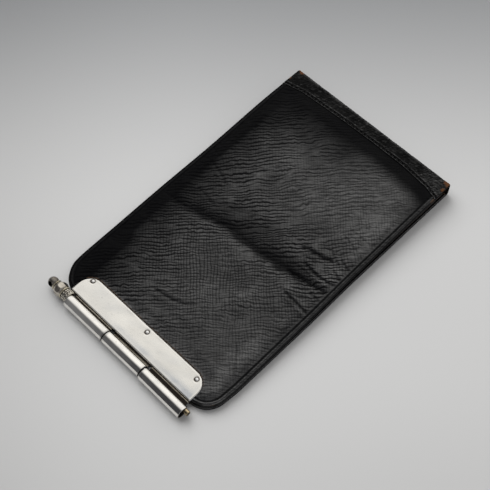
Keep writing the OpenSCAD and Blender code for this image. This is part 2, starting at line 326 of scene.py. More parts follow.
# ---------------------------------------------------------------- materials
class Mat:
    def __init__(self, name):
        self.m = bpy.data.materials.new(name)
        self.m.use_nodes = True
        self.t = self.m.node_tree
        self.t.nodes.clear()
        out = self.t.nodes.new("ShaderNodeOutputMaterial")
        self.b = self.t.nodes.new("ShaderNodeBsdfPrincipled")
        self.t.links.new(self.b.outputs[0], out.inputs["Surface"])
        tc = self.t.nodes.new("ShaderNodeTexCoord")
        sc = self.t.nodes.new("ShaderNodeVectorMath")
        sc.operation = "SCALE"
        sc.inputs["Scale"].default_value = 1000
        self.t.links.new(tc.outputs["Object"], sc.inputs[0])
        self.mm = sc.outputs[0]

    def put(self, socket, value):
        if isinstance(value, bpy.types.NodeSocket):
            self.t.links.new(value, socket)
        else:
            socket.default_value = value

    def set(self, **kw):
        names = {"color": "Base Color", "metallic": "Metallic", "rough": "Roughness", "normal": "Normal", "ior": "IOR",
                 "spec": "Specular IOR Level", "coat": "Coat Weight", "coat_rough": "Coat Roughness",
                 "sheen": "Sheen Weight", "sheen_rough": "Sheen Roughness", "aniso": "Anisotropic"}
        for k, v in kw.items():
            if k == "color" and not isinstance(v, bpy.types.NodeSocket):
                v = (*v, 1)
            self.put(self.b.inputs[names[k]], v)
        return self

    def mapped(self, scale=(1, 1, 1), rot=(0, 0, 0), loc=(0, 0, 0), vec=None, kind="POINT"):
        n = self.t.nodes.new("ShaderNodeMapping")
        n.vector_type = kind
        self.t.links.new(vec or self.mm, n.inputs["Vector"])
        n.inputs["Scale"].default_value = scale
        n.inputs["Rotation"].default_value = [math.radians(a) for a in rot]
        n.inputs["Location"].default_value = loc
        return n.outputs[0]

    def along(self, angle, along, across, up=None, seed=0.0):
        """Coordinates for a noise whose features lie along an angle in the XY plane."""
        turned = self.mapped(rot=(0, 0, -angle))
        return self.mapped(scale=(1 / along, 1 / across, 1 / (up or across)), loc=(seed, seed * 1.7, 0), vec=turned)

    def noise(self, vec=None, scale=1.0, detail=2.0, rough=0.5, dist=0.0):
        n = self.t.nodes.new("ShaderNodeTexNoise")
        self.t.links.new(vec or self.mm, n.inputs["Vector"])
        n.inputs["Scale"].default_value = scale
        n.inputs["Detail"].default_value = detail
        n.inputs["Roughness"].default_value = rough
        n.inputs["Distortion"].default_value = dist
        return n.outputs["Fac"] if "Fac" in n.outputs else n.outputs[0]

    def cells(self, vec=None, scale=1.0, feature="F1", out="Distance", rand=1.0):
        n = self.t.nodes.new("ShaderNodeTexVoronoi")
        n.feature = feature
        self.t.links.new(vec or self.mm, n.inputs["Vector"])
        n.inputs["Scale"].default_value = scale
        n.inputs["Randomness"].default_value = rand
        return n.outputs[out]

    def math(self, op, a, b=0.0, c=0.0, clamp=False):
        n = self.t.nodes.new("ShaderNodeMath")
        n.operation = op
        n.use_clamp = clamp
        for s, v in zip(n.inputs, (a, b, c)):
            self.put(s, v)
        return n.outputs[0]

    def mul(self, a, b):
        return self.math("MULTIPLY", a, b)

    def add(self, *v):
        out = v[0]
        for x in v[1:]:
            out = self.math("ADD", out, x)
        return out

    def sub(self, a, b):
        return self.math("SUBTRACT", a, b)

    def span(self, v, a, b, c=0.0, d=1.0, kind="SMOOTHSTEP"):
        n = self.t.nodes.new("ShaderNodeMapRange")
        n.interpolation_type = kind
        n.clamp = True
        for s, x in zip(n.inputs, (v, a, b, c, d)):
            self.put(s, x)
        return n.outputs[0]

    def mix(self, fac, a, b):
        n = self.t.nodes.new("ShaderNodeMix")
        n.data_type = "RGBA"
        self.put(n.inputs[0], fac)
        for s, v in ((n.inputs[6], a), (n.inputs[7], b)):
            self.put(s, v if isinstance(v, bpy.types.NodeSocket) else (*v, 1))
        return n.outputs[2]

    def attr(self, name):
        n = self.t.nodes.new("ShaderNodeAttribute")
        n.attribute_type = "GEOMETRY"
        n.attribute_name = name
        return n.outputs["Fac"]

    def ripple(self, angle, pitch, real, imag):
        """The same creases that the mesh has, sharper: 1 in a crease, 0 on a pad."""
        a = math.radians(angle)
        v = self.add(self.mul(self.axis(0), -math.sin(a) * 2 * PI / pitch), self.mul(self.axis(1), math.cos(a) * 2 * PI / pitch))
        er, ei = self.attr(real), self.attr(imag)
        size = self.math("SQRT", self.add(self.mul(er, er), self.mul(ei, ei), 1e-4))
        wave = self.sub(self.mul(er, self.math("COSINE", v)), self.mul(ei, self.math("SINE", v)))
        return self.mul(self.span(self.math("DIVIDE", wave, size), -0.15, 1.0), self.span(size, 0.12, 0.72))

    def axis(self, which, vec=None):
        n = self.t.nodes.new("ShaderNodeSeparateXYZ")
        self.t.links.new(vec or self.mm, n.inputs[0])
        return n.outputs[which]

    def bump(self, height, strength=1.0, normal=None):
        """height is in mm."""
        n = self.t.nodes.new("ShaderNodeBump")
        n.inputs["Strength"].default_value = strength
        n.inputs["Distance"].default_value = MM
        self.put(n.inputs["Height"], height)
        if normal is not None:
            self.put(n.inputs["Normal"], normal)
        return n.outputs[0]


def crease(m, vec, width=0.07, detail=1.0, dist=0.35):
    """0 in a crease, 1 on the pad beside it."""
    f = m.noise(vec, 1.0, detail, 0.45, dist)
    return m.span(m.math("ABSOLUTE", m.sub(f, 0.5)), 0.0, width)


def leather_material(name, base, lift, worn, rough=0.30, masks=True, seed=0.0, grain=1.0, gloss=1.0, coat_ior=2.24):
    """Black cross-grained leather: a matt dyed base, and a gloss on the pads between the creases whose amount a mask
    gives, partly burnish from handling and partly painted sheen and shade.
    """
    m = Mat(name)
    if masks:
        low1, low2 = m.ripple(46.5, 1.48, "e1r", "e1i"), m.ripple(135.0, 1.14, "e2r", "e2i")
    else:
        low1 = m.sub(1.0, crease(m, m.along(46.5, 5.0, 0.88, seed=seed), 0.085, 1.0, 0.5))
        low2 = m.sub(1.0, crease(m, m.along(136.5, 3.2, 0.72, seed=seed + 7), 0.080, 0.8, 0.35))
    fine_c = crease(m, m.along(30, 1.8, 0.42, seed=seed + 13), 0.10, 1.0, 0.4)
    pebble = m.cells(m.along(46.5, 0.55, 0.34, seed=seed + 3), 1.0)
    pore = m.noise(None, 5.0, 2.0, 0.6)
    cloud = m.noise(None, 0.09, 3.0, 0.55)
    g1 = m.attr("g1")
    g2 = m.attr("g2")
    shine = m.attr("shine")
    low1, low2 = m.mul(low1, g1), m.mul(low2, g2)
    low3 = m.mul(m.ripple(38.0, 1.0, "e3r", "e3i"), 0.42) if masks else m.mul(m.sub(1.0, fine_c), 0.22)
    fleck = m.noise(m.along(44, 2.6, 0.7, seed=seed + 17), 1.0, 2.0, 0.6)
    pad = m.mul(m.mul(m.sub(1.0, m.mul(low1, 1.15)), m.sub(1.0, low2)), m.sub(1.0, low3))
    pad = m.mul(pad, m.span(fleck, 0.28, 0.68, 0.62, 1.12, "LINEAR"))
    height = m.add(m.mul(low1, -0.055 * grain), m.mul(low2, -0.042 * grain), m.mul(low3, -0.030 * grain),
                   m.mul(pebble, -0.014 * grain), m.mul(pore, 0.006 * grain))
    colour = m.mix(m.span(cloud, 0.35, 0.7), base, lift)
    rub = m.attr("wear")
    patch = m.noise(None, 1.6, 4.0, 0.65)
    wear = m.span(m.add(rub, m.mul(m.sub(patch, 0.5), 0.7)), 0.42, 0.78)
    colour = m.mix(wear, colour, worn)
    r = m.add(0.58, m.mul(m.sub(cloud, 0.5), 0.10), m.mul(m.sub(pore, 0.5), 0.10))
    bumped = m.bump(height)
    m.set(color=colour, rough=r, normal=bumped, spec=0.035, ior=1.5, coat_rough=rough)
    # the gloss falls away into the creases: partly less burnish there, partly painted shade in the creases
    coat = m.mul(m.mul(shine, m.span(pad, 0.05, 1.0, 0.06, 1.15, "LINEAR")), m.span(cloud, 0.25, 0.75, 0.86 * gloss, gloss))
    coat = m.mul(coat, m.sub(1.0, m.mul(wear, 0.8)))
    m.put(m.b.inputs["Coat Weight"], coat)
    m.b.inputs["Coat IOR"].default_value = coat_ior
    m.put(m.b.inputs["Coat Normal"], bumped)
    return m.m


def lining_material(name, base, lift):
    """Smooth dyed lining leather with a close straight grain."""
    m = Mat(name)
    grain = m.noise(m.along(0, 1.6, 0.22), 1.0, 2.0, 0.55)
    pebble = m.cells(None, 2.6)
    cloud = m.noise(None, 0.07, 3.0, 0.5)
    colour = m.mix(m.span(cloud, 0.3, 0.72), base, lift)
    colour = m.mix(m.mul(m.span(grain, 0.55, 0.8), 0.35), colour, tuple(c * 1.7 for c in lift))
    height = m.add(m.mul(grain, 0.030), m.mul(pebble, -0.016))
    m.set(color=colour, rough=m.add(0.42, m.mul(m.sub(cloud, 0.5), 0.2), m.mul(m.sub(grain, 0.5), 0.12)), normal=m.bump(height))
    return m.m


def metal_material(name, base, cloudc, dark, rough, cloud_by=None, tarnish=0.0, scratch=1.0, angle=0.0, seed=0.0):
    """Old polished metal: clouds in the polish, fine rubbed scratches, and tarnish with painted shade that settle by
    attribute.
    """
    m = Mat(name)
    cloud = m.noise(m.mapped(loc=(seed, seed, seed)), 0.22, 4.0, 0.6)
    blot = m.noise(m.mapped(loc=(seed + 5, seed, 3)), 0.8, 4.0, 0.65)
    rub = m.noise(m.along(angle, 9.0, 0.09, seed=seed), 1.0, 2.0, 0.5)
    rub2 = m.noise(m.along(angle + 62, 7.0, 0.07, seed=seed + 3), 1.0, 1.0, 0.5)
    nick = m.span(m.noise(m.along(angle + 20, 3.0, 0.05, seed=seed + 9), 1.0, 0.0, 0.5), 0.70, 0.78)
    fac = m.span(cloud, 0.42, 0.68)
    if cloud_by:
        soft = m.noise(m.along(angle + 28, 16.0, 6.0, seed=seed + 2), 1.0, 2.0, 0.5)
        fac = m.add(m.mul(m.span(soft, 0.45, 0.75), 0.24), m.mul(m.attr(cloud_by), m.span(soft, 0.25, 0.65, 0.35, 1.0)), m.mul(m.sub(blot, 0.5), 0.26))
        fac = m.math("MULTIPLY", fac, 0.8, clamp=True)
    colour = m.mix(fac, base, cloudc)
    if tarnish or cloud_by:
        amount = m.math("ADD", m.attr("tarnish"), m.mul(m.span(blot, 0.55, 0.8), tarnish), clamp=True)
        colour = m.mix(m.span(m.add(amount, m.mul(m.sub(blot, 0.5), 0.35)), 0.15, 0.85), colour, dark)
    r = m.add(rough, m.mul(fac, 0.07), m.mul(m.sub(blot, 0.5), 0.08), m.mul(nick, 0.10))
    if tarnish or cloud_by:
        r = m.add(r, m.mul(m.attr("tarnish"), 0.28))
    height = m.add(m.mul(rub, 0.0016 * scratch), m.mul(rub2, 0.0010 * scratch), m.mul(nick, -0.003 * scratch), m.mul(cloud, 0.006))
    m.set(color=colour, metallic=1.0, rough=r, normal=m.bump(height))
    return m.m


def tube_material(name, base, cloudc, dark, rough, seed=0.0, scratch=1.0, blotch=0.5, grime=False):
    """Drawn tube: streaks along its length."""
    m = Mat(name)
    cloud = m.noise(m.mapped(scale=(0.16, 0.5, 0.5), loc=(seed, 0, 0)), 1.0, 4.0, 0.6)
    streak = m.noise(m.mapped(scale=(0.08, 2.2, 2.2), loc=(seed, 1, 0)), 1.0, 3.0, 0.55)
    ring = m.noise(m.mapped(scale=(5.0, 0.35, 0.35), loc=(seed, 3, 0)), 1.0, 2.0, 0.5)
    blot = m.noise(m.mapped(loc=(seed, seed, 0)), 1.1, 4.0, 0.65)
    colour = m.mix(m.span(cloud, 0.42, 0.72), base, cloudc)
    colour = m.mix(m.mul(m.span(blot, 0.58, 0.80), blotch), colour, dark)
    r = m.add(rough, m.mul(m.sub(cloud, 0.5), 0.10), m.mul(m.sub(streak, 0.5), 0.06))
    # the mark attribute turns the colour near black and rougher: dirt at some joints, painted shade in bores, gaps and
    # openings
    if grime:
        soot = m.attr("soot")
        colour = m.mix(soot, colour, (0.012, 0.010, 0.009))
        r = m.add(r, m.mul(soot, 0.25))
    height = m.add(m.mul(streak, 0.0022 * scratch), m.mul(ring, 0.0012 * scratch), m.mul(blot, 0.0015))
    m.set(color=colour, metallic=1.0, rough=r, normal=m.bump(height))
    return m.m


MAT_LEATHER = leather_material("case_leather_grain", (0.0017, 0.0017, 0.0021), (0.0026, 0.0026, 0.0029), (0.105, 0.068, 0.045), rough=0.25)
MAT_SPINE = leather_material("spine_leather_grain", (0.0022, 0.0022, 0.0023), (0.0036, 0.0035, 0.0035), (0.10, 0.042, 0.017),
                             rough=0.27, seed=21.0, grain=0.9, masks=False, coat_ior=2.2)
MAT_LINING = lining_material("lining_grain", (0.020, 0.010, 0.009), (0.034, 0.017, 0.014))
MAT_POCKET = lining_material("pocket_grain", (0.015, 0.008, 0.007), (0.026, 0.013, 0.011))
MAT_PLATE = metal_material("plate_silver", (0.985, 0.96, 0.90), (0.66, 0.68, 0.70), (0.10, 0.08, 0.065), 0.15, cloud_by="haze", tarnish=0.32, angle=4)
MAT_INNER = metal_material("inner_plate_silver", (0.88, 0.86, 0.82), (0.66, 0.66, 0.66), (0.10, 0.08, 0.06), 0.22, seed=31.0, angle=-8, tarnish=0.2)
MAT_RIVET = metal_material("rivet_silver", (0.93, 0.92, 0.90), (0.80, 0.80, 0.80), (0.2, 0.16, 0.12), 0.14, seed=12.0, scratch=0.4)
MAT_TUBE = tube_material("tube_silver", (0.94, 0.915, 0.865), (0.79, 0.775, 0.745), (0.42, 0.37, 0.31), 0.13, seed=2.0, scratch=1.5, blotch=0.75, grime=True)
MAT_TONGUE = metal_material("tongue_tarnish", (0.66, 0.60, 0.49), (0.46, 0.40, 0.31), (0.035, 0.029, 0.024), 0.32, tarnish=0.25, seed=6.0, scratch=2.0)
MAT_HEAD = tube_material("head_tarnish", (0.58, 0.54, 0.47), (0.27, 0.235, 0.20), (0.08, 0.062, 0.05), 0.20, seed=8.0, scratch=2.0, blotch=0.9, grime=True)
MAT_BALL = tube_material("ball_tarnish", (0.27, 0.25, 0.22), (0.16, 0.14, 0.12), (0.05, 0.04, 0.033), 0.32, seed=9.0, scratch=2.0, blotch=0.9, grime=True)
MAT_COLLAR = tube_material("collar_tarnish", (0.90, 0.85, 0.74), (0.70, 0.63, 0.53), (0.14, 0.11, 0.08), 0.24, seed=15.0, scratch=2.0, blotch=0.7, grime=True)
MAT_GILT = tube_material("gilt", (0.84, 0.68, 0.40), (0.72, 0.58, 0.34), (0.30, 0.22, 0.11), 0.20, seed=4.0, blotch=0.6)
MAT_RINGS = tube_material("worn_gilt_rings", (0.93, 0.86, 0.68), (0.80, 0.71, 0.52), (0.26, 0.19, 0.11), 0.20, seed=5.0, blotch=0.5, grime=True)
MAT_NOZZLE = tube_material("worn_gilt_nozzle", (0.60, 0.49, 0.32), (0.36, 0.28, 0.17), (0.09, 0.065, 0.04), 0.24, seed=4.0, blotch=0.8, grime=True)
MAT_BARREL = tube_material("barrel_silver", (0.90, 0.89, 0.86), (0.76, 0.76, 0.77), (0.40, 0.35, 0.30), 0.16, seed=18.0)


def paper_material():
    m = Mat("note_paper")
    fibre = m.noise(m.along(18, 2.4, 0.18), 1.0, 3.0, 0.6)
    cloud = m.noise(None, 0.05, 4.0, 0.6)
    spot = m.span(m.noise(None, 0.55, 3.0, 0.6), 0.68, 0.80)
    colour = m.mix(m.span(cloud, 0.3, 0.75), (0.80, 0.75, 0.63), (0.70, 0.63, 0.49))
    colour = m.mix(m.mul(spot, 0.35), colour, (0.50, 0.36, 0.20))
    m.set(color=colour, rough=m.add(0.78, m.mul(fibre, 0.12)), normal=m.bump(m.mul(fibre, 0.012)), spec=0.3)
    return m.m


def cloth_material():
    m = Mat("binding_weave")
    x = m.math("SINE", m.mul(m.axis(0), 2 * PI / 0.42))
    y = m.math("SINE", m.mul(m.axis(1), 2 * PI / 0.42))
    weave = m.mul(x, y)
    fuzz = m.noise(None, 3.0, 3.0, 0.6)
    colour = m.mix(m.span(weave, -0.7, 0.7), (0.020, 0.018, 0.020), (0.055, 0.050, 0.050))
    colour = m.mix(m.mul(m.span(fuzz, 0.55, 0.8), 0.4), colour, (0.09, 0.08, 0.075))
    m.set(color=colour, rough=m.add(0.72, m.mul(fuzz, 0.15)), normal=m.bump(m.add(m.mul(weave, 0.02), m.mul(fuzz, 0.02))), spec=0.3)
    return m.m


def board_material(name, a, b):
    m = Mat(name)
    fibre = m.noise(m.along(70, 3.0, 0.25), 1.0, 4.0, 0.65)
    cloud = m.noise(None, 0.12, 3.0, 0.5)
    colour = m.mix(m.span(fibre, 0.35, 0.7), a, b)
    m.set(color=colour, rough=m.add(0.74, m.mul(cloud, 0.12)), normal=m.bump(m.mul(fibre, 0.02)), spec=0.35)
    return m.m


def thread_material():
    m = Mat("waxed_thread")
    twist = m.math("SINE", m.mul(m.add(m.axis(0), m.axis(1)), 2 * PI / 0.16))
    fuzz = m.noise(None, 6.0, 2.0, 0.5)
    colour = m.mix(m.span(twist, -0.8, 0.8), (0.006, 0.006, 0.006), (0.018, 0.017, 0.017))
    m.set(color=colour, rough=m.add(0.5, m.mul(fuzz, 0.2)), normal=m.bump(m.mul(twist, 0.01)))
    return m.m


def graphite_material():
    m = Mat("graphite_rod")
    g = m.noise(m.mapped(scale=(0.6, 6, 6)), 1.0, 3.0, 0.6)
    m.set(color=m.mix(g, (0.03, 0.03, 0.032), (0.07, 0.07, 0.075)), rough=m.add(0.36, m.mul(g, 0.15)), metallic=0.3, normal=m.bump(m.mul(g, 0.004)))
    return m.m


MAT_PAPER, MAT_CLOTH, MAT_THREAD, MAT_GRAPHITE = paper_material(), cloth_material(), thread_material(), graphite_material()
MAT_BOARD = board_material("cover_board", (0.20, 0.15, 0.10), (0.32, 0.25, 0.17))
MAT_CARD = board_material("pad_board", (0.30, 0.27, 0.22), (0.42, 0.38, 0.31))


def piece(ob, body, slot, *nodes):
    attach(ob, body)
    if nodes:
        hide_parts(*nodes)
    return ob


# ---------------------------------------------------------------- the covers' leather
SEAM = np.array([(-41.5, 58.0), (-38.9, 58.6), (-32.8, 60.05), (-21.4, 60.7), (-9.0, 61.2), (4.7, 61.45), (15.6, 61.4),
                 (21.8, 61.35), (35.7, 60.0), (40.3, 58.6), (41.5, 58.1)])
LEFT_EDGE = np.array([(-69, -33.0), (-58, -33.2), (-45, -33.6), (-27.5, -32.8), (-10.6, -33.2), (0, -35.6), (15.8, -37), (33.2, -36.8),
                      (45.5, -32.5), (54, -29.5), (62, -25)])
RIGHT_EDGE = np.array([(-69, 37.6), (30, 37.4), (42, 35.4), (53.7, 31.0), (62, 26)])
VALLEY = [(-41.5, -14.5), (-30.1, -13.0), (-20.0, -10.6), (-9.5, -7.6), (0.0, -7.2), (8.9, -7.0), (19.9, -5.5), (27.7, -4.6), (34.6, -3.4), (41.5, -2.0)]
FOLDS = [
    ([(17.1, 5.2), (21.1, 6.6), (26.6, 7.5), (32.3, 9.4)], 0.24, 0.72),
    ([(22.5, 1.7), (31.1, 0.4), (36.8, 1.1), (40.1, 3.1)], 0.22, 0.50),
    ([(19.9, -5.6), (27.3, -4.5), (34.6, -3.4), (39.9, -2.4)], 0.23, 0.64),
    ([(33.6, -6.7), (38.9, -6.9)], 0.14, 0.44),
    ([(25.9, -13.0), (33.8, -13.6), (40.5, -14.1)], 0.20, 0.50),
    ([(37.8, -17.9), (39.9, -15.2)], 0.10, 0.40),
    ([(33.8, 6.6), (39.5, 4.9)], 0.14, 0.40),
    ([(33.1, 12.0), (39.9, 10.1)], 0.13, 0.40),
    ([(25.8, 21.0), (37.4, 18.6)], 0.07, 0.36),
    ([(25.7, 24.7), (37.3, 24.6)], 0.05, 0.36),
    ([(27.6, 12.8), (34.3, 9.5)], 0.10, 0.40),
    ([(-11.66, -47.18), (-5.85, -46.32), (-1.24, -45.4), (3.86, -43.41), (7.42, -39.97)], 0.12, 0.62),
    ([(28.6, -41.0), (30.9, -42.9), (32.9, -45.7), (35.2, -48.5), (37.4, -51.2)], 0.085, 0.34),
    ([(-38.9, 20.0), (-34.0, 22.5), (-27.0, 24.0)], 0.06, 0.5),
    ([(-38.6, -30.0), (-33.5, -27.5), (-29.0, -26.5)], 0.06, 0.5),
    ([(-37.5, 9.4), (-30.4, 8.2), (-23.4, 5.7)], 0.09, 0.50),
    ([(-31.4, -3.35), (-25.1, -3.8), (-19.5, -4.9)], 0.08, 0.50),
    ([(-38.5, 13.9), (-32.7, 12.7)], 0.07, 0.45),
]

R_LONG = Ripple(11, 46.5, 1.48, 4.2, 0.21)
R_CROSS = Ripple(13, 135.0, 1.14, 3.0, 0.19)
R_FINE = Ripple(15, 38.0, 1.0, 2.0, 0.25)
F_LONG = Field(12, 46.5, 2.5, 26.0, spread=0.17)
F_CROSS = Field(13, 136.5, 1.9, 17.0, spread=0.16)
R_BACK = Ripple(31, 46.5, 1.48, 4.2, 0.21)
R_BACK2 = Ripple(33, 135.0, 1.14, 3.0, 0.19)
R_STRIP = Ripple(14, 66.0, 0.98, 1.7, 0.22)
R_STRIP2 = Ripple(24, 5.0, 1.25, 1.3, 0.25)
F_WIG = Field(20, 30.0, 5.5, 3.0, spread=0.5, step=0.4)
F_STRIP = Field(14, 100.0, 2.2, 9.0, spread=0.35)
F_STRIP2 = Field(15, 15.0, 1.8, 7.0, spread=0.35)
F_SLOW = Field(16, 10.0, 26.0, 20.0, spread=0.5, step=0.8)
F_SLOW2 = Field(17, 70.0, 12.0, 9.0, spread=0.5, step=0.5)
F_BACK = Field(18, 60.0, 2.6, 22.0, spread=0.2)
F_WALL = Field(19, 0.0, 3.0, 9.0)


# how far the long creases bow out of straight, from their measured slant at each height
_y = np.linspace(-76, 76, 153)
_turn = np.interp(_y, [-60, -52, -41, -30, -19, -8, 3, 14, 25, 36, 47, 60], [0, 0, -4, 1, -2, -4.5, -1, 4, 4.5, 2.5, 1, 0])
BEND = np.stack([_y, np.cumsum(np.tan(np.radians(np.convolve(_turn, np.ones(7) / 7, "same")))) / 0.725], -1)


def outline_inset(x, y, half=HALF, y0=Y0, r=R):
    """Distance in from the rounded clasp end and the two long sides."""
    ax = np.abs(x)
    d = np.minimum(half - ax, y - y0)
    cx, cy = half - r, y0 + r
    corner = (ax > cx) & (y < cy)
    return np.where(corner, r - np.hypot(ax - cx, cy - y), d)


def worn_outline(x, y):
    """Both covers spread a little at the right, and at the left by the spine, and the left corner is rubbed rounder."""
    out = x - (0.55 * bump_at(y, 46, 22) + 0.25 * bump_at(y, -14, 20)) * smooth((-x - 35) / 6)
    out = out + (0.15 + 0.40 * smooth((12 - y) / 30)) * smooth((x - 35) / 6) * smooth((y + 62) / 10)
    return out + 0.9 * bump_at(np.hypot(x + 39.5, y + 64.5), 0, 5.5)


def plate_inset(x, y):
    """Distance in from the plate's outline, but for its end wall."""
    mid, half = (PX0 + PX1) / 2, (PX1 - PX0) / 2
    ax = np.abs(x - mid)
    d = np.minimum(half - ax, PY1 - y)
    corner = (ax > half - PR) & (y > PY1 - PR)
    return np.where(corner, PR - np.hypot(ax - (half - PR), y - (PY1 - PR)), d)


def border(d, edge=0.4):
    """Rounded edge, thin line, raised bead and crease round a cover, as height against the distance in."""
    e = np.clip(d, 0, edge)
    z = -(edge - np.sqrt(np.maximum(edge * edge - (edge - e) ** 2, 0)))
    z = z + 0.03 * bump_at(d, 0.36, 0.14) - 0.10 * bump_at(d, 0.66, 0.13) + 0.19 * bump_at(d, 1.22, 0.38) - 0.20 * bump_at(d, 1.98, 0.20)
    return z


def front_relief(x, y):
    """(height over the outer face, masks) of the front cover's leather."""
    d = outline_inset(x, y)
    ys = np.interp(x, SEAM[:, 0], SEAM[:, 1])
    xl = np.interp(y, LEFT_EDGE[:, 0], LEFT_EDGE[:, 1])
    xr = np.interp(y, RIGHT_EDGE[:, 0], RIGHT_EDGE[:, 1])
    pl = smooth((x + 39.5) / (xl + 39.5))
    pr = smooth((39.5 - x) / (39.5 - xr))
    pb = smooth((d - 2.1) / 3.0)
    pp = 0.42 + 0.58 * smooth(-(plate_inset(x, y) + 0.05) / 6.5)
    ps = smooth((ys - 0.1 - y) / 4.8)
    pillow = pl * pr * pb * pp * ps
    dv, tv = line_distance(x, y, VALLEY)
    inward = smooth((d - 2.15) / 1.2)
    valley = 0.62 * bump_at(dv, 0, 2.6) + 0.25 * bump_at(dv, 0, 6.5)
    h = 0.60 * pillow * (1 - valley)
    inside = inward * smooth((ys - y) / 1.5) * smooth(-(plate_inset(x, y) + 0.02) / 0.6)
    h = h + inside * (0.055 * F_SLOW(x, y) + 0.022 * F_SLOW2(x, y)) * (0.35 + 0.65 * pillow)
    folded = 0.6 * bump_at(dv, 0, 0.45)
    h = h - inside * 0.09 * bump_at(dv, 0, 0.45)
    for pts, deep, wide in FOLDS:
        dl, tl = line_distance(x, y, pts)
        fade = smooth(tl / 0.15) * smooth((1 - tl) / 0.10) * 0.9 + 0.1
        folded = np.maximum(folded, fade * bump_at(dl, 0, wide * 1.15) * min(1.0, deep * 6))
        h = h + inside * fade * deep * 1.15 * (0.55 * bump_at(dl, wide * 2.6, wide * 1.5) - bump_at(dl, 0, wide))
    # grain: long creases slanting across, a second set across them that makes a weave on the clasp-side pillow
    near_valley = bump_at(dv, 0, 6.0)
    g1 = 0.55 + 0.32 * smooth((6 - x) / 34) + 0.40 * bump_at(y, 1, 11) + 0.15 * near_valley - 0.25 * bump_at(np.hypot(x + 3, (y + 24) * 1.2), 0, 11)
    g1 = g1 * (1 - 0.45 * smooth((x - 20) / 14) * smooth((y - 20) / 14)) * (1 - 0.50 * bump_at(np.hypot(x - 27, (y + 49) * 0.8), 0, 14)) * (1 - 0.40 * bump_at(np.hypot(x - 38, (y + 57) * 0.8), 0, 10))
    g2 = 0.24 + 0.34 * bump_at(np.hypot(x * 0.6, y + 28), 0, 19) + 0.12 * smooth((x - 10) / 20) * (1 - 0.8 * smooth((-14 - y) / 14)) - 0.12 * smooth((y - 30) / 14)
    g2 = g2 * (1 - 0.30 * bump_at(np.hypot(x - 24, y + 53), 0, 12))
    bend = np.interp(y, BEND[:, 0], BEND[:, 1])
    wx = 0.35 * F_SLOW(x, y) + 0.16 * F_WIG(x, y) + bend * 0.725
    wy = 0.35 * F_SLOW(y * 0.7 + 11, x * 1.3) + 0.16 * F_WIG(x * 0.9 + 20, y) - bend * 0.688
    e1r, e1i, c1, k1 = R_LONG(x, y, wx, wy)
    e2r, e2i, c2, k2 = R_CROSS(x, y, wx * 0.4, wy * 0.4)
    e3r, e3i = R_FINE(x, y, wx * 0.6, wy * 0.6)[:2]
    g1, g2 = np.clip(g1, 0, 1) * inside, np.clip(g2, 0, 1) * inside
    h = h - g1 * k1 * 0.100 * c1 - g2 * k2 * 0.055 * c2 + inside * 0.035
    h = h + (1 - inside) * smooth(d / 0.6) * 0.010 * F_STRIP(x, y)
    nick = smooth((np.abs(F_WIG(x * 2.3 + 5, y * 2.3)) - 0.7) / 0.9)
    h = h + border(d) - 0.10 * nick * bump_at(d, 2.05, 0.38) - 0.04 * nick * bump_at(d, 1.3, 0.5)
    # lower under the plate and under the spine's strip
    under_plate = smooth((plate_inset(x, y) + 0.12) / 0.25)
    h = h * (1 - under_plate) + under_plate * (-0.12)
    under_strip = smooth((y - ys - 0.15) / 0.5)
    h = h * (1 - under_strip) + under_strip * (np.minimum(border(d), 0) - 0.42)
    wear = 0.25 * bump_at(d, 0.25, 0.3)
    # rubbed brown at the corner by the seam, and a lighter brown line along the plate's top edge
    wear = wear + 0.45 * bump_at(np.hypot(x - 41.2, y - 57.5), 0, 2.2) + 0.66 * bump_at(plate_inset(x, y), -0.42, 0.50) * (y > -62)
    wear = wear + 0.30 * bump_at(np.hypot(x - 38, y + 63), 0, 5) * bump_at(d, 0.3, 0.5)
    # the gloss laid on by a mask, partly burnish from handling and partly painted sheen and painted shade: none along
    # the clasp-left side, under the seam and in the fold, most on the right
    below = ys - y
    slow, quick = np.clip((below - 4.5) / 22, 0, 1) ** 1.2, smooth((below - 3.7) / 8.0)
    side = smooth((x - 0) / 19)
    shine = (slow * (1 - side) + quick * side) * np.clip((x + 34.6 - 3.0 * smooth((-33 - y) / 8)) / 18.5, 0, 1) ** 0.65
    # painted shade: the gloss is taken off in a band along the valley, reaching furthest on its upper side
    dy = y - np.interp(x, [q[0] for q in VALLEY], [q[1] for q in VALLEY]) + 0.4 * F_SLOW2(x, y)
    reach = 16 - 9.5 * smooth((x - 6) / 13)
    tail = (0.60 - 0.22 * smooth((-16 - x) / 16) - 0.30 * smooth((x - 22) / 12)) * smooth((dy + 3.4) / 2.6) * (1 - smooth((dy - 2.6) / reach))
    core = (0.60 - 0.25 * smooth((-16 - x) / 16)) * smooth((dy + 2.6) / 1.9) * (1 - smooth((dy - 0.8) / 2.8))
    core, tail = core * (1 - 0.85 * smooth((x - 25) / 7)), tail * (1 - 0.8 * smooth((x - 28) / 6))
    shine = shine * (1 - tail) * (1 - core)
    # two patches of painted shade beside the folds on the right
    shine = shine * (1 - 0.40 * bump_at(np.hypot((x - 24.5) * 0.55, (y - 7.0) - (x - 24.5) * 0.1), 0, 1.8))
    shine = shine * (1 - 0.35 * bump_at(np.hypot((x - 32) * 0.5, y + 14.5), 0, 2.6))
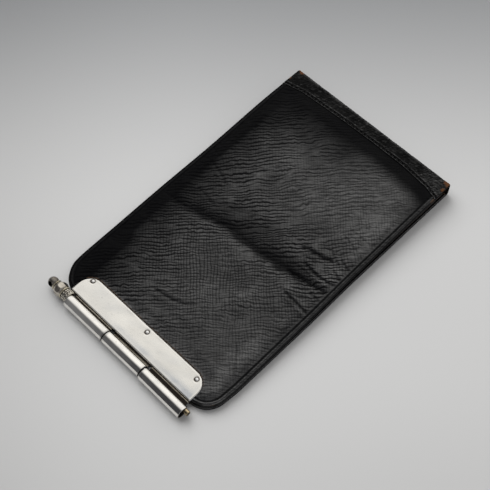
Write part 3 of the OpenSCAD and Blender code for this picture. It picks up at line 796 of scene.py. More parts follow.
    # more or less gloss over wide areas, where the leather should read brighter or darker: painted sheen and painted
    # shade
    more = 1 + 0.30 * smooth((x + 5) / 25) * smooth((y - 12) / 12) + 0.30 * bump_at(x, 35, 5) * smooth((y - 16) / 10) * (1 - smooth((y - 38) / 12))
    more = more * (1 - 0.17 * smooth((x - 4) / 16) * smooth((y - 6) / 10)) * (1 - (0.50 - 0.24 * bump_at(y, 2, 24)) * smooth((x - 34.8) / 4.6)) * (1 - 0.25 * smooth((y - 40) / 8) * smooth((x - 31) / 5))
    more = more * (1 + 0.42 * bump_at(y, 8, 14) * smooth((x - 29) / 5)) * (1 + 0.25 * smooth((x - 36) / 3) * smooth((-8 - y) / 10))
    more = more + 0.58 * bump_at(x, 35.0, 4.0) * smooth((-27 - y) / 14) + 0.12 * bump_at(np.hypot((x - 2) * 0.5, y + 33), 0, 9)
    more = more * (1 + 0.34 * bump_at(plate_inset(x, y), -2.8, 3.0) * smooth((x + 27) / 8) * (1 - 0.6 * smooth((x - 26) / 6)))
    # less gloss in the folds: painted shade in their creases
    shine = shine * (1 - 0.60 * folded * (0.75 + 0.25 * F_WIG(x * 1.7, y * 1.7))) * more * (1 + 0.07 * F_SLOW(x, y) + 0.05 * F_SLOW2(x, y)) * smooth(-(plate_inset(x, y) - 0.25) / 0.3) * smooth((d - 2.1) / 0.45) / 1.75
    # painted highlights of gloss along the bead and the outer edge, strongest by the clasp
    broken = smooth(0.55 + 0.5 * F_WIG(x * 1.3 + 9, y * 1.3))
    near_clasp = smooth((x + 5) / 12) * (0.34 + 0.22 * smooth((10 - y) / 50)) + 0.45 * bump_at(np.hypot(x - 37, y + 65), 0, 15) * smooth((x - 20) / 8)
    shine = np.maximum(shine, (near_clasp + 0.08) * bump_at(d, 1.22, 0.36) * (0.6 + 0.4 * broken) * (1 - 0.5 * nick))
    shine = np.maximum(shine, 0.80 * near_clasp * bump_at(d, 0.85, 0.60) * smooth((x - 36) / 2) * (1 - 0.4 * nick))
    shine = np.maximum(shine, (0.12 * (x > 0) + 0.05) * bump_at(d, 0.34, 0.14) * broken)
    # a painted glow of gloss on the leather just beside the plate
    by_plate = plate_inset(x, y)
    glow = 0.62 * bump_at(by_plate, -0.62, 0.62) + 0.16 * bump_at(by_plate, -1.1, 1.7)
    shine = np.maximum(shine, shine * 0.75 + glow * smooth((y + 63) / 1.5) * smooth((x + 30) / 6) * (0.75 + 0.25 * smooth((x - 10) / 15)))
    shine = shine * (1 - under_strip)
    return h, {"g1": g1, "g2": g2, "wear": wear, "shine": np.clip(0.022 + 0.978 * shine, 0, 1), "e1r": e1r, "e1i": e1i, "e2r": e2r, "e2i": e2i, "e3r": e3r, "e3i": e3i}


def back_relief(x, y):
    """The back cover rests on its face, so its leather stays at or under the outer face."""
    d = outline_inset(x, y)
    ys = np.interp(x, SEAM[:, 0], SEAM[:, 1])
    inside = smooth((d - 2.2) / 2.5) * smooth((ys - y) / 2.0) * smooth(-(plate_inset(x, y) + 0.1) / 1.5)
    wx, wy = 0.35 * F_SLOW(-x, y) + 0.16 * F_WIG(-x, y), 0.35 * F_SLOW(y * 0.7 + 5, x) + 0.16 * F_WIG(y * 0.5, x)
    e1r, e1i, c1, k1 = R_BACK(x, y, wx, wy)
    e2r, e2i, c2, k2 = R_BACK2(x, y, wx * 0.4, wy * 0.4)
    e3r, e3i = R_FINE(-x, -y, wx * 0.6, wy * 0.6)[:2]
    g1 = inside * (0.55 + 0.12 * F_SLOW(x, -y))
    g2 = inside * 0.45
    h = -0.03 + 0.0 * inside - inside * (0.02 - 0.012 * F_SLOW(-x, y)) - g1 * k1 * 0.07 * c1 - g2 * k2 * 0.04 * c2
    h = np.minimum(h, 0.0)
    h = h + border(d) * 0.62
    h = np.minimum(h, -0.004)
    under_plate = smooth((plate_inset(x, y) + 0.12) / 0.25)
    h = h * (1 - under_plate) + under_plate * (-0.40)
    under_strip = smooth((y - ys - 0.15) / 0.5)
    h = h * (1 - under_strip) + under_strip * (np.minimum(border(d), 0) - 0.42)
    wear = 0.30 * bump_at(d, 0.6, 0.6) + 0.25 * smooth((np.abs(x) - 34) / 8) * smooth((np.abs(y) - 52) / 14) + 0.12 * np.clip(F_SLOW2(x, y), 0, 2)
    # gloss laid on by a mask, with a painted highlight along the bead
    shine = np.clip(0.15 + 0.55 * inside * (0.8 + 0.2 * F_SLOW(-x, y)) + 0.5 * bump_at(d, 1.1, 0.4), 0, 1)
    return h, {"g1": np.clip(g1, 0, 1), "g2": g2, "wear": wear, "shine": shine, "e1r": e1r, "e1i": e1i, "e2r": e2r, "e2i": e2i, "e3r": e3r, "e3i": e3i}


NEAR = (0, 0.03, 0.09, 0.17, 0.27, 0.40, 0.52, 0.65, 0.80, 0.97, 1.15, 1.33, 1.5, 1.68, 1.85, 2.02, 2.2, 2.45)


def cover_skin(name, relief, place, step, edge=0.4, y_end=67.2):
    """The leather of a cover: outer face, rounded edge, wall with its turned-in layer, and rim on the inside."""
    ys = spaced(Y0, y_end, step, NEAR, (0, 0.2))
    us = spaced(-1, 1, step / HALF, tuple(k / HALF for k in NEAR))
    fall = np.clip(R - (ys - Y0), 0, R)
    w = HALF - R + np.sqrt(np.maximum(R * R - fall * fall, 0))
    x = us[None, :] * w[:, None]
    y = np.repeat(ys[:, None], len(us), 1)
    h, masks = relief(x, y)
    nr, nc = x.shape
    verts = [np.stack([worn_outline(x, y), y, T + h], -1).reshape(-1, 3)]
    faces = [tuple(f) for f in grid_faces(nr, nc)]
    loop = rim_loop(nr, nc)
    lx, ly = x.ravel()[loop], y.ravel()[loop]
    lz = (T + h).ravel()[loop]
    i = np.array(loop)
    row, col = i // nc, i % nc
    nx, ny = np.zeros(len(loop)), np.zeros(len(loop))
    side = (col == 0) | (col == nc - 1)
    in_corner = side & (ly < Y0 + R)
    nx[side] = np.sign(lx[side])
    k = in_corner
    cx = np.sign(lx[k]) * (HALF - R)
    nx[k], ny[k] = (lx[k] - cx) / R, (ly[k] - Y0 - R) / R
    bottom = (row == 0) & ~side
    ny[bottom] = -1
    top = row == nr - 1
    ny[top] = 1
    nx[top & ~side] = 0
    wob = 0.03 * F_WALL(lx + ly, lx * 0 + ly * 0.3)
    rings = [(0.0, 0.93), (0.05, 0.86), (0.08, 0.78), (0.05, 0.70), (0.0, 0.62), (0.0, 0.35), (0.05, 0.15), (0.16, 0.03), (0.32, 0.0), (0.9, 0.0), (0.9, 0.9)]
    n0 = nr * nc
    m = len(loop)
    prev = loop
    z_top = T - edge
    for q, (din, z) in enumerate(rings):
        px = np.clip(lx - nx * din, -(HALF - din), HALF - din)
        py = np.clip(ly - ny * din, Y0 + din, y_end - din if din > 0.5 else y_end)
        zz = np.full(m, z) + (wob if 0 < q < 5 else 0)
        if q == 0:
            zz = np.minimum(zz, lz - 0.02)
        verts.append(np.stack([worn_outline(px, py), py, zz], -1))
        cur = list(range(n0 + q * m, n0 + (q + 1) * m))
        faces += [(prev[a], cur[a], cur[(a + 1) % m], prev[(a + 1) % m]) for a in range(m)]
        prev = cur
    faces.append(tuple(prev))
    v = np.concatenate(verts)
    total = len(v)
    attrs = {}
    for key, values in masks.items():
        full = np.zeros(total, np.float32)
        full[:n0] = values.ravel()
        tail = values.ravel()[loop]
        for q in range(len(rings)):
            # the lower turn of the edge gets extra gloss: a painted highlight line
            full[n0 + q * m:n0 + (q + 1) * m] = np.maximum(tail, 0.55) if key == "shine" and q in (6, 7) else tail
        attrs[key] = full
    return make(name, place(v), faces, MAT_LEATHER, sharp=70, attrs=attrs)


STEP = 0.41
front_skin = piece(cover_skin("front_cover_leather", front_relief, front, STEP), "front_cover", "case_leather", "front_leather")
back_skin = piece(cover_skin("back_cover_leather", back_relief, back, 0.46), "back_cover", "case_leather", "back_leather")


# ---------------------------------------------------------------- the spine's leather, lapped onto each cover
def strip_height(off, x):
    """Height of the lapped strip over the outer face: folded ridge, sewn groove, second ridge."""
    busy = 0.35 + 0.65 * smooth((8 - x) / 18)
    pucker = 0.5 + 0.5 * np.cos(2 * PI * (x + 0.5 * np.sin(x * 0.9) + 0.3 * np.sin(x * 2.3 + 1)) / 2.05) * (0.7 + 0.3 * np.sin(x * 1.7))
    lean = 0.45 * (pucker - 0.5)
    a = 0.34 * bump_at(off, 0.52, 0.33) * (1 - 0.72 * busy * (1 - pucker))
    b = 0.29 * bump_at(off + lean * 0.5, 2.0, 0.46) * (1 - 0.85 * busy * (1 - pucker))
    groove = -0.17 * bump_at(off, 1.22, 0.17) - 0.05 * busy * (1 - pucker) * bump_at(off, 1.25, 0.7)
    return a + b + groove + 0.03


def spine_wrap(name, upper):
    """One half of the spine leather: from its folded edge on the cover, over the corner, to the middle of the spine."""
    place = front if upper else back
    xs = spaced(-HALF, HALF, 0.36, (0, 0.03, 0.09, 0.18, 0.30, 0.45, 0.65))
    offs = np.array([0.0, 0.05, 0.12, 0.20, 0.30, 0.42, 0.55, 0.68, 0.8, 0.92, 1.03, 1.12, 1.22, 1.32, 1.42, 1.55, 1.7, 1.85, 2.0, 2.15, 2.35, 2.6, 2.9])
    n_flat, r_out = 14, 1.25
    ys = np.interp(xs, SEAM[:, 0], SEAM[:, 1])
    y_turn = 67.55
    amp = 1.0 if upper else 0.0
    rows_o, rows_i, wear, gleam = [], [], [], []
    # on the cover
    for k in range(len(offs) + n_flat):
        if k < len(offs):
            y = ys + offs[k]
            off = np.full_like(xs, offs[k])
        else:
            t = (k - len(offs) + 1) / (n_flat + 0.0)
            y = (ys + offs[-1]) * (1 - t) + 67.2 * t
            off = y - ys
        h = strip_height(off, xs)
        busy = 0.35 + 0.65 * smooth((8 - xs) / 18)
        pucks = 1 - 0.7 * busy * (0.5 - 0.5 * np.cos(2 * PI * (xs + 0.5 * np.sin(xs * 0.9) + 0.3 * np.sin(xs * 2.3 + 1)) / 2.05) * (0.7 + 0.3 * np.sin(xs * 1.7)))
        if not upper:
            h = h * 0.35 - 0.14
        lip = smooth(off / 0.22)
        h = (h + 0.36) * lip - 0.36
        wx, wy = 0.12 * F_WIG(xs, y), 0.12 * F_WIG(xs * 0.9 + 20, y)
        c1, k1 = R_STRIP(xs, y, wx, wy)[2:]
        c2, k2 = R_STRIP2(xs, y, wx, wy)[2:]
        wr = (0.03 - 0.11 * c1 * k1 - 0.08 * c2 * k2) * smooth((off - 0.2) / 0.8)
        h = h + wr * (1.0 if upper else 0.4)
        if not upper:
            h = np.minimum(h, -0.01)
        rows_o.append(place(np.stack([xs, y, T + h], -1)))
        rows_i.append(place(np.stack([xs, y, np.full_like(xs, T - 0.40)], -1)))
        wear.append(0.30 * bump_at(off, 0.5, 0.4) * (0.4 + 0.6 * smooth((xs - 24) / 12)))
        # gloss laid on by a mask: painted highlights on the folded crest, the second ridge and flecks, painted shade in
        # the sewn groove and the creases
        right = smooth((xs - 27) / 8)
        crest = 0.60 * bump_at(off, 0.50, 0.17) + (0.22 + 0.3 * busy) * bump_at(off, 2.0, 0.30)
        fleck = smooth((F_WIG(xs * 1.7 + 4, y * 1.7) - 0.4) / 1.2)
        gleam.append((0.08 + 0.27 * right + 1.45 * crest * pucks + (0.26 + 0.2 * right) * fleck * smooth((off - 2.4) / 0.8) + 0.03 * F_SLOW2(xs, y))
                     * (1 - 0.85 * bump_at(off, 1.22, 0.20)) * (1 - 0.75 * c1 * k1) * (1 - 0.6 * c2 * k2) * (1 - 0.7 * bump_at(off, 0.95, 0.14)))
    # round the corner and down the spine
    top_z = front(np.array([0, y_turn, T]))[2] if upper else 0.0
    cz = top_z - r_out if upper else r_out
    mid = 3.80
    steps = [("arc", a) for a in np.linspace(84, 0, 12)] + [("down", t) for t in np.linspace(0, 1, 9)[1:]]
    for kind, v in steps:
        if kind == "arc":
            c, s = math.cos(math.radians(v)), math.sin(math.radians(v))
            n_y, n_z = c, (s if upper else -s)
            py, pz = y_turn + r_out * c, cz + r_out * n_z
            t = 1 - v / 90
            iy = y_turn + (0.65 if v < 60 else 0.2) * c
            iy = 67.35 + 0.85 * smooth(np.array(t * 1.25))
            iz = (T - 0.45) if False else None
            start = front(np.array([0, 67.3, T - 0.42]))[2] if upper else 0.42
            end = 6.30 if upper else 1.30
            iz = start * (1 - smooth(np.array(t))) + end * smooth(np.array(t))
            along = 68.0 + t * 1.6
        else:
            n_y, n_z = 1.0, 0.0
            py, pz = 68.8, cz * (1 - v) + mid * v
            iy = 68.2
            end = 6.30 if upper else 1.30
            iz = end * (1 - v) + mid * v
            along = 69.6 + v * 2.5
        fade = 1.0 if kind == "arc" else float(1 - smooth(np.array((v - 0.8) / 0.2)))
        ya = np.full_like(xs, along)
        wx, wy = 0.12 * F_WIG(xs, ya), 0.12 * F_WIG(xs * 0.9 + 20, ya)
        c1, k1 = R_STRIP(xs, ya, wx, wy)[2:]
        c2, k2 = R_STRIP2(xs, ya, wx, wy)[2:]
        wr = (0.03 - 0.10 * c1 * k1 - 0.08 * c2 * k2) * fade
        if not upper:
            wr = np.minimum(wr, 0.0) if kind == "arc" else wr
        rows_o.append(np.stack([xs, py + n_y * (wr - 0.015), pz + n_z * (wr - 0.015)], -1))
        rows_i.append(np.stack([xs, np.full_like(xs, float(iy)), np.full_like(xs, float(iz))], -1))
        corner = bump_at(np.array(float(v) if kind == "arc" else -60.0 * v), 45, 30)
        ends = smooth((np.abs(xs) - 37.5) / 4)
        # a painted highlight of gloss along the rounded corner
        gleam.append((0.16 + 0.42 * bump_at(np.array(float(v) if kind == "arc" else -60.0 * v), 62, 26) + 0.05 * F_SLOW2(xs, ya)) * (1 - 0.6 * c1 * k1) * (1 - 0.5 * c2 * k2))
        wear.append(corner * (0.12 + 0.55 * ends * np.where(xs > 0, 1.0, 0.8)) + 0.28 * np.clip(F_SLOW2(xs, np.full_like(xs, along)), 0, 1.5) * corner)
    outer, inner = np.array(rows_o), np.array(rows_i)
    for grid in (outer, inner):
        grid[..., 0] = worn_outline(grid[..., 0], np.minimum(grid[..., 1], 67.2))
    # soft ends: the leather's thickness closes over the last bit of its width
    din = HALF - np.abs(xs)
    e = np.clip(din / 0.40, 0, 1)
    k = 0.5 * (1 - np.sqrt(1 - (1 - e) ** 2))
    k = 0.42 * (1 - np.sqrt(np.maximum(1 - (1 - e) ** 2, 0)))
    outer2 = outer * (1 - k)[None, :, None] + inner * k[None, :, None]
    inner2 = inner * (1 - k)[None, :, None] + outer * k[None, :, None]
    verts, faces = two_skins(outer2, inner2)
    wear = np.array(wear)
    if upper:
        # rubbed brown spots at the two ends of the strip
        gx = np.repeat(xs[None, :], len(wear), 0)
        gy = outer[:, :, 1]
        for cx, cy, rad, much in ((41.05, 64.0, 1.25, 0.85), (41.5, 67.6, 1.8, 1.0), (40.8, 60.6, 0.9, 0.5), (39.2, 67.3, 1.2, 0.45), (-41.4, 62.4, 1.1, 0.8), (-39.4, 67.7, 1.3, 0.8), (-41.2, 66.4, 0.8, 0.45)):
            wear = wear + much * bump_at(np.hypot(gx - cx, gy - cy), 0, rad)
    full = np.concatenate([wear.ravel(), wear.ravel() * 0.4])
    g = np.full_like(full, 0.75)
    shine = np.array(gleam)
    shine = np.concatenate([shine.ravel(), shine.ravel() * 0.3])
    ob = make(name, verts, faces, MAT_SPINE, sharp=65, attrs={"g1": g, "g2": g * 0.5, "wear": full, "shine": np.clip(shine, 0, 1)})
    return ob


wrap_top = spine_wrap("spine_wrap_front", True)
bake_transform(wrap_top)
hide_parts("front_spine_strip", "spine_leather")
wrap_low = spine_wrap("spine_wrap_back", False)
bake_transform(wrap_low)
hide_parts("back_spine_strip", "spine_leather")


def stitches(name, place, lift, body, node, flip=1):
    """Thread in the strip's groove: short laid stitches, each a bent capsule."""
    parts = []
    xs = np.arange(-39.9, 40.2, 2.05)
    for x in xs:
        yc = float(np.interp(x, SEAM[:, 0], SEAM[:, 1])) + 1.22
        y2 = float(np.interp(x + 1.4, SEAM[:, 0], SEAM[:, 1])) + 1.22
        n, k = 8, 7
        rows = []
        for i in range(k):
            t = i / (k - 1)
            r = 0.15 * math.sqrt(max(1e-4, 1 - (2 * t - 1) ** 6))
            cx, cy = x + 1.4 * t, yc + (y2 - yc) * t
            cz = T + lift + 0.05 * math.sin(PI * t) - 0.04
            for j in range(n):
                a = 2 * PI * j / n
                rows.append((cx, cy + r * math.cos(a), cz + r * 0.8 * math.sin(a)))
        faces = []
        for i in range(k - 1):
            for j in range(n):
                faces.append((i * n + j, i * n + (j + 1) % n, (i + 1) * n + (j + 1) % n, (i + 1) * n + j))
        faces += [tuple(range(n)), tuple(range((k - 1) * n, k * n))]
        parts.append((place(np.array(rows)), faces))
    ob = joined(name, parts, MAT_THREAD)
    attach(ob, body)
    return ob


stitches("seam_thread_front", front, -0.06, "front_cover", None)
stitches("seam_thread_back", back, -0.20, "back_cover", None)


def spine_lining():
    xs = spaced(-HALF + 0.8, HALF - 0.8, 0.7, (0, 0.06, 0.15, 0.3))
    zs = spaced(1.25, 6.35, 0.26, (0, 0.05, 0.12, 0.24))
    x, z = np.meshgrid(xs, zs)
    d = np.minimum(np.minimum(x - xs[0], xs[-1] - x), np.minimum(z - zs[0], zs[-1] - z))
    y = 67.93 + 0.10 * (1 - smooth(d / 0.25)) + 0.02 * F_LONG(x, z * 3) * smooth(d / 0.5) + 0.04 * bump_at(d, 0.7, 0.12)
    outer = np.stack([x, y, z], -1)
    inner = np.stack([x, np.full_like(x, 68.19), z], -1)
    ob = make("spine_inner_lining", *two_skins(outer, inner), MAT_LINING, sharp=60)
    return piece(ob, "spine", "lining_leather", "spine_lining")


spine_lining()


# ---------------------------------------------------------------- linings
def lining(name, place, body, node, seed):
    """Inside leather of a cover, with a blind-tooled line round it, set back under the inner plate."""
    inn = 0.93
    half, y0, y1, r = HALF - inn, Y0 + inn, Y1 - inn, R - inn
    near = (0, 0.06, 0.15, 0.28, 0.45)
    ys = spaced(y0, y1, 0.85, near)
    extra = np.array([2.0, 2.15, 2.3, 2.45, 2.6])
    ys = np.unique(np.round(np.concatenate([ys, y0 + extra, y1 - extra]), 4))
    us = spaced(-1, 1, 0.85 / half, tuple(k / half for k in near))
    us = np.unique(np.round(np.concatenate([us, -1 + extra / half, 1 - extra / half]), 6))
    fall = np.clip(r - (ys - y0), 0, r)
    w = half - r + np.sqrt(np.maximum(r * r - fall * fall, 0))
    x = us[None, :] * w[:, None]
    y = np.repeat(ys[:, None], len(us), 1)
    d = np.minimum(outline_inset(x, y, half, y0, r), y1 - y)
    z = 0.02 + 0.12 * (1 - smooth(d / 0.3)) + 0.07 * bump_at(d, 2.3, 0.14) - 0.010 * F_SLOW2(x, y + seed) * smooth(d / 3)
    z = np.maximum(z, 0.005)
    under = smooth((plate_inset(x, y) - 0.55) / 0.5)
    z = z * (1 - under) + 0.34 * under
    outer = np.stack([x, y, z], -1)
    inner = np.stack([x, y, np.full_like(x, 0.395)], -1)
    ob = make(name, place(two_skins(outer, inner)[0]), two_skins(outer, inner)[1], MAT_LINING, sharp=60)
    return piece(ob, body, "lining_leather", node)


lining("front_inner_lining", front, "front_cover", "front_lining", 0)
lining("back_inner_lining", back, "back_cover", "back_lining", 9)


# ---------------------------------------------------------------- pockets
def pocket(name, place, body, node, x0, x1, y0, y1, open_sides, up, z_face, mouth_arc=0.0):
    """A leather pocket sewn down on its closed sides. z is away from the cover's inside; up is the standing height."""
    near = (0, 0.06, 0.14, 0.25, 0.4, 0.7, 0.85, 1.0, 1.15, 1.3, 1.5)
    xs, ys = spaced(x0, x1, 0.8, near), spaced(y0, y1, 0.8, near)
    x, y = np.meshgrid(xs, ys)
    sides = {"x0": x - x0, "x1": x1 - x, "y0": y - y0, "y1": y1 - y}
    sewn = np.minimum.reduce([v for k, v in sides.items() if k not in open_sides])
    free = np.minimum.reduce([v for k, v in sides.items() if k in open_sides])
    d = np.minimum(sewn, free)
    body_h = 0.42 + (up - 0.42) * smooth((sewn - 1.0) / 2.2)
    z = body_h - 0.14 * (1 - smooth(d / 0.25)) - 0.09 * bump_at(sewn, 0.95, 0.14) + 0.012 * F_LONG(x, y) * smooth((sewn - 1.2) / 1.5)
    z = z + 0.05 * bump_at(free, 0.7, 0.35) - 0.05 * bump_at(free, 1.45, 0.14)
    z = np.minimum(z, up)
    zi = np.where(sewn > 1.5, (body_h - 0.34), 0.02 + (body_h - 0.42) * 0.6)
    zi = 0.02 + np.maximum(body_h - 0.42, 0) * 0.98
    outer = np.stack([x, y, z_face - z], -1)
    inner = np.stack([x, y, z_face - zi], -1)
    v, f = two_skins(outer, inner)
    ob = make(name, place(v), f, MAT_POCKET, sharp=60)
    return piece(ob, body, "lining_leather", node)


pocket("front_card_pocket", front, "front_cover", "card_pocket", -39.5, 39.5, -13.2, 62.8, ("y0",), 0.75, 0.0)
pocket("back_pad_sleeve", back, "back_cover", "back_pocket", -39.5, 39.5, 30.0, 64.0, ("y0", "x1"), 0.85, 0.0)


def pocket_thread(name, place, body, path, z_face, z):
    parts = []
    for (ax, ay), (bx, by) in zip(path, path[1:]):
        ln = math.dist((ax, ay), (bx, by))
        ux, uy = (bx - ax) / ln, (by - ay) / ln
        for s in np.arange(0.9, ln - 1.9, 2.2):
            n, k, rows, faces = 6, 5, [], []
            for i in range(k):
                t = i / (k - 1)
                r = 0.11 * math.sqrt(max(1e-4, 1 - (2 * t - 1) ** 6))
                cx, cy = ax + ux * (s + 1.5 * t), ay + uy * (s + 1.5 * t)
                for j in range(n):
                    a = 2 * PI * j / n
                    rows.append((cx - uy * r * math.cos(a), cy + ux * r * math.cos(a), z_face - z - 0.03 * math.sin(PI * t) - r * 0.8 * math.sin(a)))
            for i in range(k - 1):
                for j in range(n):
                    faces.append((i * n + j, i * n + (j + 1) % n, (i + 1) * n + (j + 1) % n, (i + 1) * n + j))
            faces += [tuple(range(n)), tuple(range((k - 1) * n, k * n))]
            parts.append((place(np.array(rows)), faces))
    ob = joined(name, parts, MAT_THREAD)
    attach(ob, body)
    return ob


pocket_thread("front_pocket_thread", front, "front_cover", [(-38.55, -12.4), (-38.55, 61.85), (38.55, 61.85), (38.55, -12.4)], 0.0, 0.35)
pocket_thread("back_sleeve_thread", back, "back_cover", [(-38.55, 30.8), (-38.55, 63.05), (38.55, 63.05)], 0.0, 0.35)


# ---------------------------------------------------------------- note pad
def card(name, x0, x1, y0, y1, z0, z1, r, mat, body, slot, nodes, curl=0.0, rough=0.006, step=1.6, seed=0, edge=0.06):
    """A flat card or leaf with round corners, softened edges and a slight lift at one corner."""
    near = (0, edge * 0.4, edge, edge * 2)
    xs = spaced(-1, 1, 2 * step / (x1 - x0), tuple(2 * k / (x1 - x0) for k in near))
    ys = spaced(y0, y1, step, near + (r * 0.3, r * 0.6, r) if r else near)
    ys = np.unique(np.round(ys, 4))
    fall = np.maximum(np.clip(r - (ys - y0), 0, r), np.clip(r - (y1 - ys), 0, r))
    half = (x1 - x0) / 2
    w = half - r + np.sqrt(np.maximum(r * r - fall * fall, 0)) if r else np.full_like(ys, half)
    mx = (x0 + x1) / 2
    x = mx + xs[None, :] * w[:, None]
    y = np.repeat(ys[:, None], len(xs), 1)
    d = np.minimum(w[:, None] - np.abs(x - mx), np.minimum(y - y0, y1 - y))
    soft = (1 - smooth(d / edge)) * min(edge, (z1 - z0) * 0.4)
    lift = curl * smooth((x - (x1 - 22)) / 22) * smooth(((y0 + 26) - y) / 26)
    wave = rough * F_SLOW2(x + seed, y - seed)
    top = np.minimum(z1 - soft + wave + lift, z1 + curl)
    low = z0 + soft + wave + lift
    outer, inner = np.stack([x, y, top], -1), np.stack([x, y, np.maximum(low, z0)], -1)
    ob = make(name, *two_skins(outer, inner), mat, sharp=60)
    return piece(ob, body, slot, *nodes)


card("pad_stiff_card", -37, 37, -58 + 15, 58, 1.56, 1.89, 2.0, MAT_CARD, "note_pad", "board", ("pad_card",), rough=0.0)
n_leaves = 5
for k in range(n_leaves):
    z0 = 1.905 + k * 0.118
    dx = (0.0, -0.22, 0.15, -0.1, 0.05)[k]
    card(f"pad_leaf_{k + 1}", -35.9 + dx, 35.7 + dx, -40.9 + abs(dx), 26.9, z0, z0 + 0.095, 0.6, MAT_PAPER, "note_pad", "paper",
         ("pad_leaves",) if k == 0 else (), rough=0.004, seed=k * 3.1, edge=0.03, step=2.2)


def binding():
    """Cloth strip folded over the leaves' top end."""
    path_o = [(20.0, 2.535), (20.06, 2.60), (20.25, 2.615), (21, 2.618), (23, 2.62), (25, 2.62), (26.6, 2.615)]
    path_o += [(26.6 + 0.6 * math.sin(math.radians(a)), 2.02 + 0.595 * math.cos(math.radians(a))) for a in (15, 30, 45, 60, 75, 90)] + [(27.2, 1.96), (27.2, 1.905)]
    path_i = [(20.0, 2.505), (20.06, 2.502), (20.25, 2.502), (21, 2.502), (23, 2.502), (25, 2.502), (26.4, 2.502)]
    path_i += [(26.5 + 0.45 * math.sin(math.radians(a)), 2.05 + 0.45 * math.cos(math.radians(a))) for a in (15, 30, 45, 60, 75, 90)] + [(26.95, 1.96), (26.95, 1.905)]
    xs = spaced(-36, 36, 0.8, (0, 0.05, 0.12))
    o = np.array([[(x, y, z + 0.012 * math.sin(x * 1.7 + y) * (1 if 20.3 < y < 26 else 0)) for x in xs] for y, z in path_o])
    o[..., 2] = np.minimum(o[..., 2], 2.62)
    i = np.array([[(x, y, z) for x in xs] for y, z in path_i])
    ob = make("pad_cloth_binding", *two_skins(o, i), MAT_CLOTH, sharp=60)
    return piece(ob, "note_pad", "binding_cloth", "pad_binding")


binding()


# ---------------------------------------------------------------- clasp plates
def plate_sheet(name, place, proud, body, slot, nodes, wave_seed):
    """Outer plate: rounded rim on three sides, flat face with a hand-polished waviness, rolled over into its end wall."""
    mid, half = (PX0 + PX1) / 2, (PX1 - PX0) / 2
    near = (0, 0.015, 0.045, 0.09, 0.15, 0.22, 0.30, 0.40, 0.55, 0.8)
    us = spaced(-1, 1, 0.30 / half, tuple(k / half for k in near))
    zt = T + proud
    bend = 0.42
    stations = [("top", PY1 - k) for k in near] + [("top", v) for v in np.linspace(PY1 - 0.8, WALL + bend, 34)[1:]]
    stations += [("arc", a) for a in np.linspace(0, 90, 8)[1:]] + [("wall", v) for v in np.linspace(zt - bend, 0.32, 6)[1:]]
    outer, inner, haze, tarn = [], [], [], []
    for kind, v in stations:
        if kind == "top":
            y, z, ny, nz, dy = v, zt, 0.0, 1.0, PY1 - v
        elif kind == "arc":
            a = math.radians(v)
            y, z, ny, nz, dy = WALL + bend - bend * math.sin(a), zt - bend + bend * math.cos(a), -math.sin(a), math.cos(a), 20.0
        else:
            y, z, ny, nz, dy = WALL, v, -1.0, 0.0, 20.0
        fall = max(0.0, PR - dy)
        w = half - PR + math.sqrt(max(PR * PR - fall * fall, 0)) if dy < PR else half
        x = mid + us * w
        yy = np.full_like(x, y)
        d = plate_inset(x, np.full_like(x, min(y, PY1))) if kind == "top" else half - np.abs(x - mid)
        d = np.maximum(d, 0)
        low_edge = max(0.0, 0.25 - (z - 0.32)) if kind == "wall" else 0.0
        drop = 0.20 * (1 - smooth(d / 0.36)) ** 1.2
        wave = (0.016 * F_SLOW(x, yy * 1.5 + wave_seed) + 0.006 * F_SLOW2(x, yy + wave_seed)) * smooth(d / 1.5) * (1.0 if proud else 0.3)
        for rx, ry in RIVETS:
            rr = np.hypot(x - rx, yy - ry) if kind == "top" else np.full_like(x, 99.0)
            wave = wave - 0.07 * bump_at(rr, 0.90, 0.26)
        if not proud:
            wave = np.minimum(wave, 0)
        off = wave - drop - low_edge * 0.3
        outer.append(np.stack([x, yy + ny * off, np.full_like(x, z) + nz * off], -1))
        th = 0.34
        if kind == "arc":
            rad = bend - th
            a = math.radians(v)
            iy, iz = WALL + bend - rad * math.sin(a), zt - bend + rad * math.cos(a)
        elif kind == "wall":
            iy, iz = WALL + th, z
        else:
            iy, iz = y, zt - th
        inner.append(np.stack([x, np.full_like(x, iy), np.full_like(x, iz)], -1))
        if kind == "top":
            # clouded polish, greyer toward the end wall, at the right end and by the left rivet
            hz = 0.85 * bump_at(yy, -67.3, 1.2) * smooth((x + 22) / 25) + 0.7 * smooth((x - 17) / 12) * smooth((-64.0 - yy) / 3) + 0.35 * smooth((x - 28.5) / 4)
            hz = hz + 0.50 * bump_at(np.hypot((x + 23) * 0.55, yy + 61.3), 0, 4.2) + 0.45 * smooth((x - 15) / 12) * smooth((-66.2 - yy) / 1.2)
            # less haze along the rim so it reads bright: a painted highlight
            hz = hz * (1 - 0.9 * bump_at(d, 0.50, 0.42))
            # darker round each rivet's edge and to one side of it
            tr = 0.0 * x
            for rx, ry in RIVETS:
                tr = tr + 1.0 * bump_at(np.hypot(x - rx, yy - ry), 0.82, 0.27) + 0.40 * bump_at(np.hypot(x - rx + 0.8, yy - ry + 0.8), 0, 0.75)
        else:
            hz = np.full_like(x, 0.5)
            # the rolled edge and the end wall are coloured dark, painted shade under the tube; the lip of the bend is
            # left bright
            tr = np.full_like(x, 0.25 if kind == "arc" and v < 50 else 0.75)
            if kind == "arc":
                tr = np.full_like(x, 0.75 * float(smooth(np.array((v - 25) / 45))))
        haze.append(hz)
        tarn.append(tr)
    outer, inner = np.array(outer), np.array(inner)
    v, f = two_skins(outer, inner)
    hz, tr = np.array(haze).ravel(), np.array(tarn).ravel()
    ob = make(name, place(v), f, MAT_PLATE, sharp=60,
              attrs={"haze": np.concatenate([hz, hz * 0 + 0.4]), "tarnish": np.concatenate([tr, tr * 0 + 0.6])})
    return piece(ob, body, slot, *nodes)


